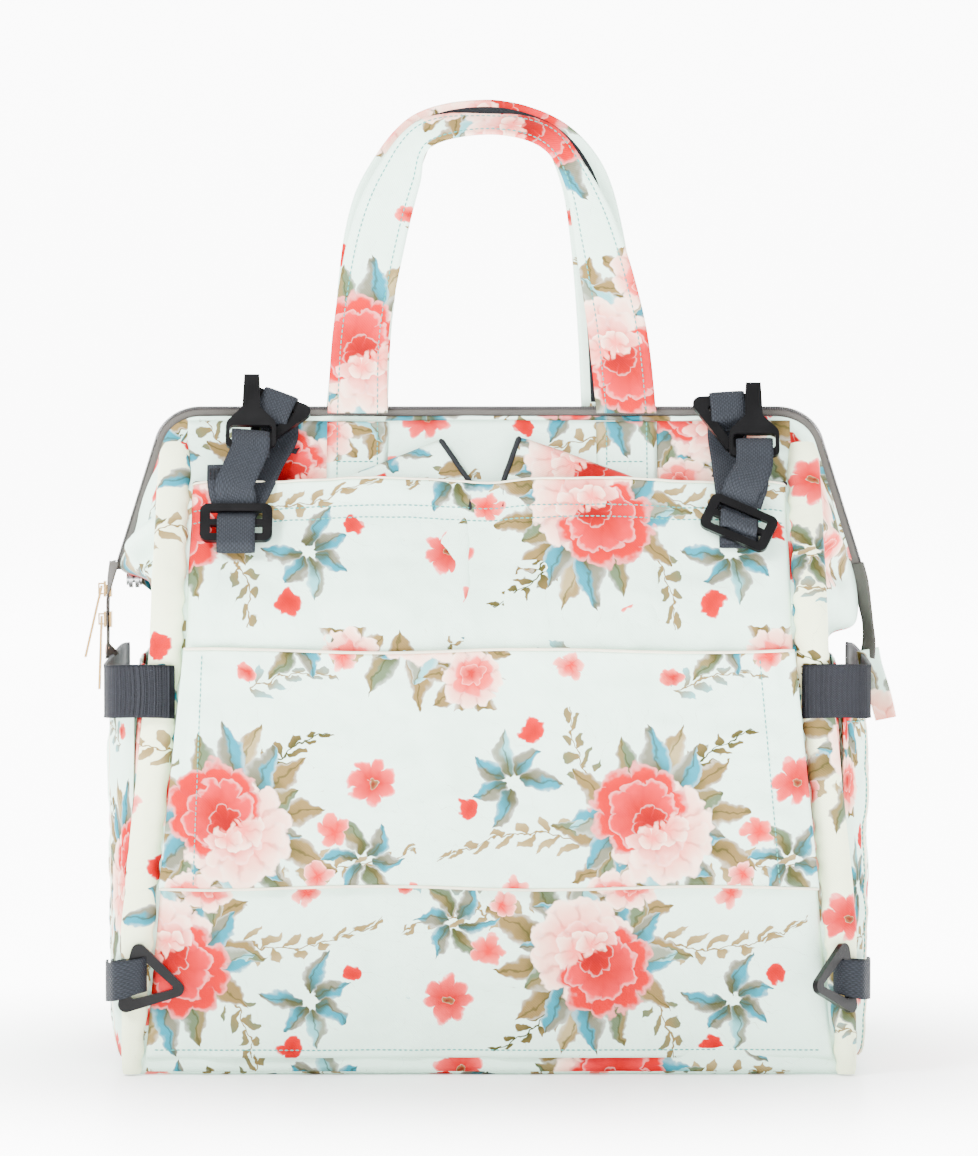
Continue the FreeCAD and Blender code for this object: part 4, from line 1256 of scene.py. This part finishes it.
def front_pocket_place(u, v):
    x, y = glide(TRAY, u)
    z = 8.2 + v * 124.2
    low = min(1.0, v * 9) ** 0.5
    slump = 3.2 * math.exp(-((v - 0.3) / 0.3) ** 2) * (1 - abs(x / 190) ** 6)
    y = 95 + (y - 95) * (0.8 + 0.2 * low) + slump + ripple(x * 0.7, z, 90, 40, 2.6) * low * (y > 112)
    return P(x * (0.992 + 0.008 * low), min(y, 126.5), z), rest_on(-62, 66)(-x, z)


pouch = panel("front_pocket_cloth", front_pocket_place, 170, 60, 1.2 * MM)
dress(pouch, mint_print, "print_fabric", "root", "front_pocket")


def pocket_top_place(u, v):
    x, y = glide(TRAY, u)
    if v < 0.3:
        z, reach = 145.6 + v / 0.3 * 4.4, 1.0
    else:
        z, reach = 150.0 + 1.6 * math.sin((v - 0.3) / 0.7 * math.pi), 1 - (v - 0.3) / 0.7
    z += ripple(x, v * 30, 15, 26, 0.7)
    return P(x * (0.985 + 0.01 * reach), 95.3 + (y - 95.3) * reach, z), rest_on(20, 0)(-x, v * 34)


lid = panel("front_pocket_top_cloth", pocket_top_place, 150, 20, 1.1 * MM)
dress(lid, mint_print, "print_fabric", "root", "front_pocket_top")


def pocket_floor_place(u, v):
    x = (2 * u - 1) * 182.5
    return P(x, 95.5 + v * 22.5, 8.6 + ripple(x, v * 20, 5, 30, 0.5)), (x * MM, v * 24 * MM)


under = panel("front_pocket_floor", pocket_floor_place, 100, 8, 1.2 * MM)
dress(under, mint_print, "print_fabric", "root")


def pocket_zip_place(u, v):
    x, y = glide(TRAY, 0.045 + u * 0.91)
    z = 132.0 + v * 14
    ridge = 0.3 * math.exp(-((v - 0.5) / 0.14) ** 2)
    return P(x, min(y, 121.3) + 0.25 + ridge, z), ((z - 139) * MM, u * 380 * MM)


zipper = panel("front_pocket_zip_tape", pocket_zip_place, 200, 14, 0.9 * MM)
dress(zipper, tape_cloth, "zip_tape", "root", "front_pocket_zip")
beads, bead_faces, bead_layout = [], [], []
for i in range(236):
    middle = pocket_zip_place((i + 0.5) / 236, 0.5)[0] + Vector((0, 0.2, 0)) * MM
    first = len(beads)
    for dx, dz in ((-0.55, -1.9), (0.55, -1.9), (0.55, 1.9), (-0.55, 1.9)):
        for dy in (-0.2, 0.35):
            beads.append(middle + Vector((dx, dy, dz)) * MM)
            bead_layout.append((i * 0.001, dz * 0.001))
    for k in range(4):
        n = (k + 1) % 4
        bead_faces.append((first + 2 * k, first + 2 * k + 1, first + 2 * n + 1, first + 2 * n))
    bead_faces.append((first, first + 2, first + 4, first + 6))
    bead_faces.append((first + 7, first + 5, first + 3, first + 1))
dress(mesh_piece("front_pocket_coil", beads, bead_faces, bead_layout), coil, "zip_teeth", "root")


# Stroller straps. A loop of webbing holds a moulded triangle at the top; the webbing drops behind it,
# threads up through a slide and carries a hook that is clipped back over the triangle's bar.

def slope(x, s, h):
    """A point on the sloping top of the back, as back() but measured from the knee."""
    c, q = math.cos(LEAN), math.sin(LEAN)
    return P(x, -95 + s * q - h * c, 232 + s * c + h * q)


def webbing_run(name, spine, width, thick=1.3, steps=90, wide=10):
    """Webbing along (x, s, h, skew): its width lies along x, turned by skew where it twists."""
    points, layout = [], []
    ring = 2 * (wide + 1)
    run, before = 0.0, None
    for i in range(steps + 1):
        x, s, h, turn = glide(spine, i / steps)
        near, far = glide(spine, max(i - 1, 0) / steps), glide(spine, min(i + 1, steps) / steps)
        here = slope(x, s, h)
        ahead = (slope(*far[:3]) - slope(*near[:3])).normalized()
        a = math.radians(turn)
        flat = (slope(math.cos(a), math.sin(a), 0) - slope(0, 0, 0)).normalized()
        side = (flat - ahead * flat.dot(ahead)).normalized()
        up = ahead.cross(side)
        run += (here - before).length if before is not None else 0.0
        before = here
        for k in range(ring):
            top = k <= wide
            f = k / wide if top else (ring - 1 - k) / wide
            crown = 1 - 0.5 * abs(2 * f - 1) ** 10
            h2 = thick / 2 * crown * (1 if top else -1)
            points.append(here + side * (f - 0.5) * width * MM + up * h2 * MM)
            layout.append(((f - 0.5) * width * MM, run))
    return mesh_piece(name, points, swept(steps + 1, ring), layout)


for word, loop_x, turn, hook_x, buckle_x, slide_turn in (
        ("right", 119.5, 4.0, 132.5, 124.0, -25.0), ("left", -105.5, -22.0, -119.0, -125.5, 0.0)):
    t = math.radians(turn)

    def turned(x, s):
        return loop_x + x * math.cos(t) - s * math.sin(t), 110 + x * math.sin(t) + s * math.cos(t)
    spine = []
    for s, h in ((-15, 4.6), (-8, 5.2), (0, 5.9), (3.0, 6.4), (4.4, 8.5), (3.0, 10.6), (0, 11.2),
                 (-6, 11.3), (-10, 10.6), (-12, 8.0), (-13.5, 5.0)):
        x, up = turned(0, s)
        spine.append((x, up, h, turn))
    parts = [webbing_run("loop", spine, 17.5, 1.3, 80)]
    drift = loop_x - buckle_x
    eye = 110 + (hook_x - loop_x) * math.tan(t) - 31.7
    bow = 3.0 if word == "right" else -1.5
    down = [(loop_x, 103, 2.4, turn * 0.4), (loop_x, 92, 2.6, 0), (loop_x - drift * 0.3, 78, 6.5, 0),
            (loop_x - drift * 0.6, 62, 9.8, 0), (buckle_x, 46, 10.3, slide_turn * 0.4),
            (buckle_x, 34, 10.3, slide_turn * 0.8)]
    under = [(buckle_x, 28, 10.8, slide_turn), (buckle_x, 25.6, 13.4, slide_turn),
             (buckle_x, 28.5, 16.4, slide_turn), (buckle_x, 33, 16.6, slide_turn)]
    over = [(buckle_x, 38, 16.3, slide_turn), (buckle_x, 43, 16.0, slide_turn),
            (buckle_x, 46, 13.0, slide_turn), (buckle_x, 49.5, 11.8, slide_turn * 0.9),
            (buckle_x + 0.3, 54, 13.2, slide_turn * 0.6),
            (buckle_x + bow * 0.8, 60, 16.4, slide_turn * 0.3)]
    up = [((buckle_x + hook_x) / 2 + bow, 68, 17.0, 0), (hook_x, eye - 3, 16.4, turn * 0.3),
          (hook_x, eye + 3.2, 16.3, turn * 0.3), (hook_x, eye + 6.5, 15.1, turn * 0.3),
          (hook_x, eye + 6.9, 13.2, turn * 0.3), (hook_x, eye + 3.4, 11.2, turn * 0.3),
          (hook_x, eye - 6, 11.6, 0)]
    if word == "left":
        parts.append(webbing_run("run", down + under + over + up, 19.0, 1.3, 240))
    else:
        tuck = [(buckle_x, 31, 11.6, slide_turn), (buckle_x, 35.5, 12.6, slide_turn)]
        parts.append(webbing_run("drop", down + [(buckle_x, 29, 10.4, slide_turn)], 19.5, 1.3, 90))
        parts.append(webbing_run("run", tuck + over + up, 18.4, 1.3, 170))
    shift = -5.0 if word == "left" else 4.6
    parts.append(webbing_run("end", [
        (buckle_x + shift * 0.6, 52, 12.0, slide_turn * 0.6),
        (buckle_x + shift * 0.9, 56, 13.4, slide_turn * 0.4),
        (buckle_x + shift + bow * 0.5, 62, 14.9, 0), (buckle_x + shift + bow * 0.6, 72, 15.0, 0)],
        18.0, 1.25, 50))
    strap = join("strap_webbing_cloth_" + word, parts)
    dress(strap, webbing, "webbing", "stroller_strap_" + word, "strap_webbing_" + word)
    tack = []
    edge_x = buckle_x + shift + bow * 0.6 + (-4.6 if word == "left" else 4.6)
    for row in range(7):
        tack.append([slope(edge_x + (i - 3) * 1.1, 64 + row * 0.9, 15.7 + 0.2 * (row % 2))
                     for i in range(7)])
    bar = sew("strap_bar_tack_" + word, "stroller_strap_" + word, tack, pitch=2.0, size=0.4)
    bar.data.materials[0] = binding_and_painted_shadow
for word, loop_x in (("right", 119.5), ("left", -105.5)):
    def anchor_place(u, v, face):
        rim = (1 - abs(2 * u - 1) ** 8) * (1 - abs(2 * v - 1) ** 8)
        return slope(loop_x + (u - 0.5) * 22, 70 + v * 18, 0.9 + face * 0.65 * max(rim, 0) ** 0.5), (
            (u - 0.5) * 22 * MM, v * 18 * MM)
    anchor = cushion("strap_anchor_cloth_" + word, anchor_place, 10, 10)
    dress(anchor, webbing, "webbing", "root", *(["strap_anchors"] if word == "right" else []))


# Corner tabs. At each bottom corner a doubled tab of webbing, sewn into the roll's seam, holds a moulded
# triangle.

def tab_spot(side, tilt):
    t = math.radians(tilt)

    def place(x, y, w):
        dx = x - 178.0
        return P(side * (178.0 + dx * math.cos(t)), y, 50 + w - dx * math.sin(t))
    return place


for side, word, tilt in ((-1, "left", 14.0), (1, "right", 8.0)):
    spot = tab_spot(side, tilt)

    def tab_place(u, v):
        line = [(188.6, -86), (188.2, -96.5), (184.5, -99.9), (175, -100.0), (171.8, -100.8),
                (170.6, -103.9), (171.8, -107.0), (175, -107.9), (184.0, -107.6), (187.8, -103.0),
                (189.8, -97), (190.1, -86)]
        x, y = glide(line, u)
        pinch = 1 - 0.12 * math.exp(-((x - 172) / 8) ** 2)
        w = (v - 0.5) * 19.5 * pinch
        return spot(x, y - 0.25 * math.cos(w / 3), w), (w * MM, u * 66 * MM)
    strip = panel("corner_tab_webbing_" + word, tab_place, 90, 12, 1.2 * MM)
    dress(strip, webbing, "webbing", "root", "corner_tab_" + word)


# Moulded fittings. The rings, hooks and slides are moulded from black acetal with a low sheen; the zip
# sliders and their pulls are cast zinc with a pale gold plating.

plastic = plain("plastic", (0.003, 0.003, 0.0033), 0.32, 1500.0, 0.00008, Specular_IOR_Level=0.13)
gold = plain("gold", (0.36, 0.23, 0.095), 0.22, 500.0, 0.00005, Metallic=1.0)
for kind in ("strap_ring_", "strap_hook_", "strap_buckle_", "corner_ring_"):
    for word in ("left", "right"):
        for slot in bpy.data.objects[kind + word].material_slots:
            slot.material = plastic
for node in ("mouth_slider_upper", "mouth_slider_lower", "mouth_pull_upper", "mouth_pull_lower",
             "front_pocket_slider", "front_pocket_pull"):
    for slot in bpy.data.objects[node].material_slots:
        slot.material = gold


# Studio. A seamless pale floor that glows towards its far edges and falls to near black round the bag,
# a painted shadow; and soft light from everywhere with a little more from the upper left.

stage = bpy.data.meshes.new("floor")
sweep = [(-16.0, 0.0), (3.4, 0.0), (4.0, 0.12), (4.4, 0.5), (4.6, 1.2), (4.7, 3.8)]
stage.from_pydata([(x, y, z) for y, z in sweep for x in (-16, 16)], [],
                  [(2 * i, 2 * i + 1, 2 * i + 3, 2 * i + 2) for i in range(5)])
floor = bpy.data.objects.new("floor", stage)
bpy.context.scene.collection.objects.link(floor)
for face in stage.polygons:
    face.use_smooth = True
floor_glow_painted_shadow, shader, start = finish_material("floor", Roughness=0.3, Specular_IOR_Level=0.03)
shader.inputs["Base Color"].default_value = (0.92, 0.92, 0.92, 1)
place = start.node("TexCoord", out=3)
east, north, _ = place.split()
away = ((east / 0.42) * (east / 0.42) + ((north + 0.02) / 0.34) * ((north + 0.02) / 0.34)) ** 0.5
# Painted shadow: the floor's glow is near black round the bag's footprint and rises to white farther
# out.
plug(shader, "Emission Color", away.ramp(0.32, 1.15).colour((0.02, 0.02, 0.02), (1.0, 1.0, 1.0)))
shader.inputs["Emission Strength"].default_value = 7.2
stage.materials.append(floor_glow_painted_shadow)

world = bpy.data.worlds.new("studio")
bpy.context.scene.world = world
world.use_nodes = True
world.node_tree.nodes["Background"].inputs[0].default_value = (1, 1, 1, 1)
world.node_tree.nodes["Background"].inputs[1].default_value = 1.15


def lamp(name, where, size, power, aim=(0, 0, 0.22)):
    light = bpy.data.lights.new(name, "AREA")
    light.energy = power
    light.size = size
    thing = bpy.data.objects.new(name, light)
    thing.location = where
    thing.rotation_euler = (Vector(aim) - Vector(where)).to_track_quat("-Z", "Y").to_euler()
    bpy.context.scene.collection.objects.link(thing)


lamp("key", (-1.3, -1.3, 1.6), 0.6, 104)
lamp("fill", (1.4, -1.7, 0.6), 1.2, 21)
lamp("top", (0.1, 0.2, 1.9), 1.0, 26)

camera = bpy.data.objects.new("camera", bpy.data.cameras.new("camera"))
bpy.context.scene.collection.objects.link(camera)
bpy.context.scene.camera = camera
camera.data.sensor_width = 36
camera.data.lens = 180
rise = math.radians(3.0)
target = Vector((0, -0.06, 0.246))
camera.location = target + Vector((0, -math.cos(rise), math.sin(rise))) * 2.9
camera.rotation_euler = (math.radians(90) - rise, 0, 0)
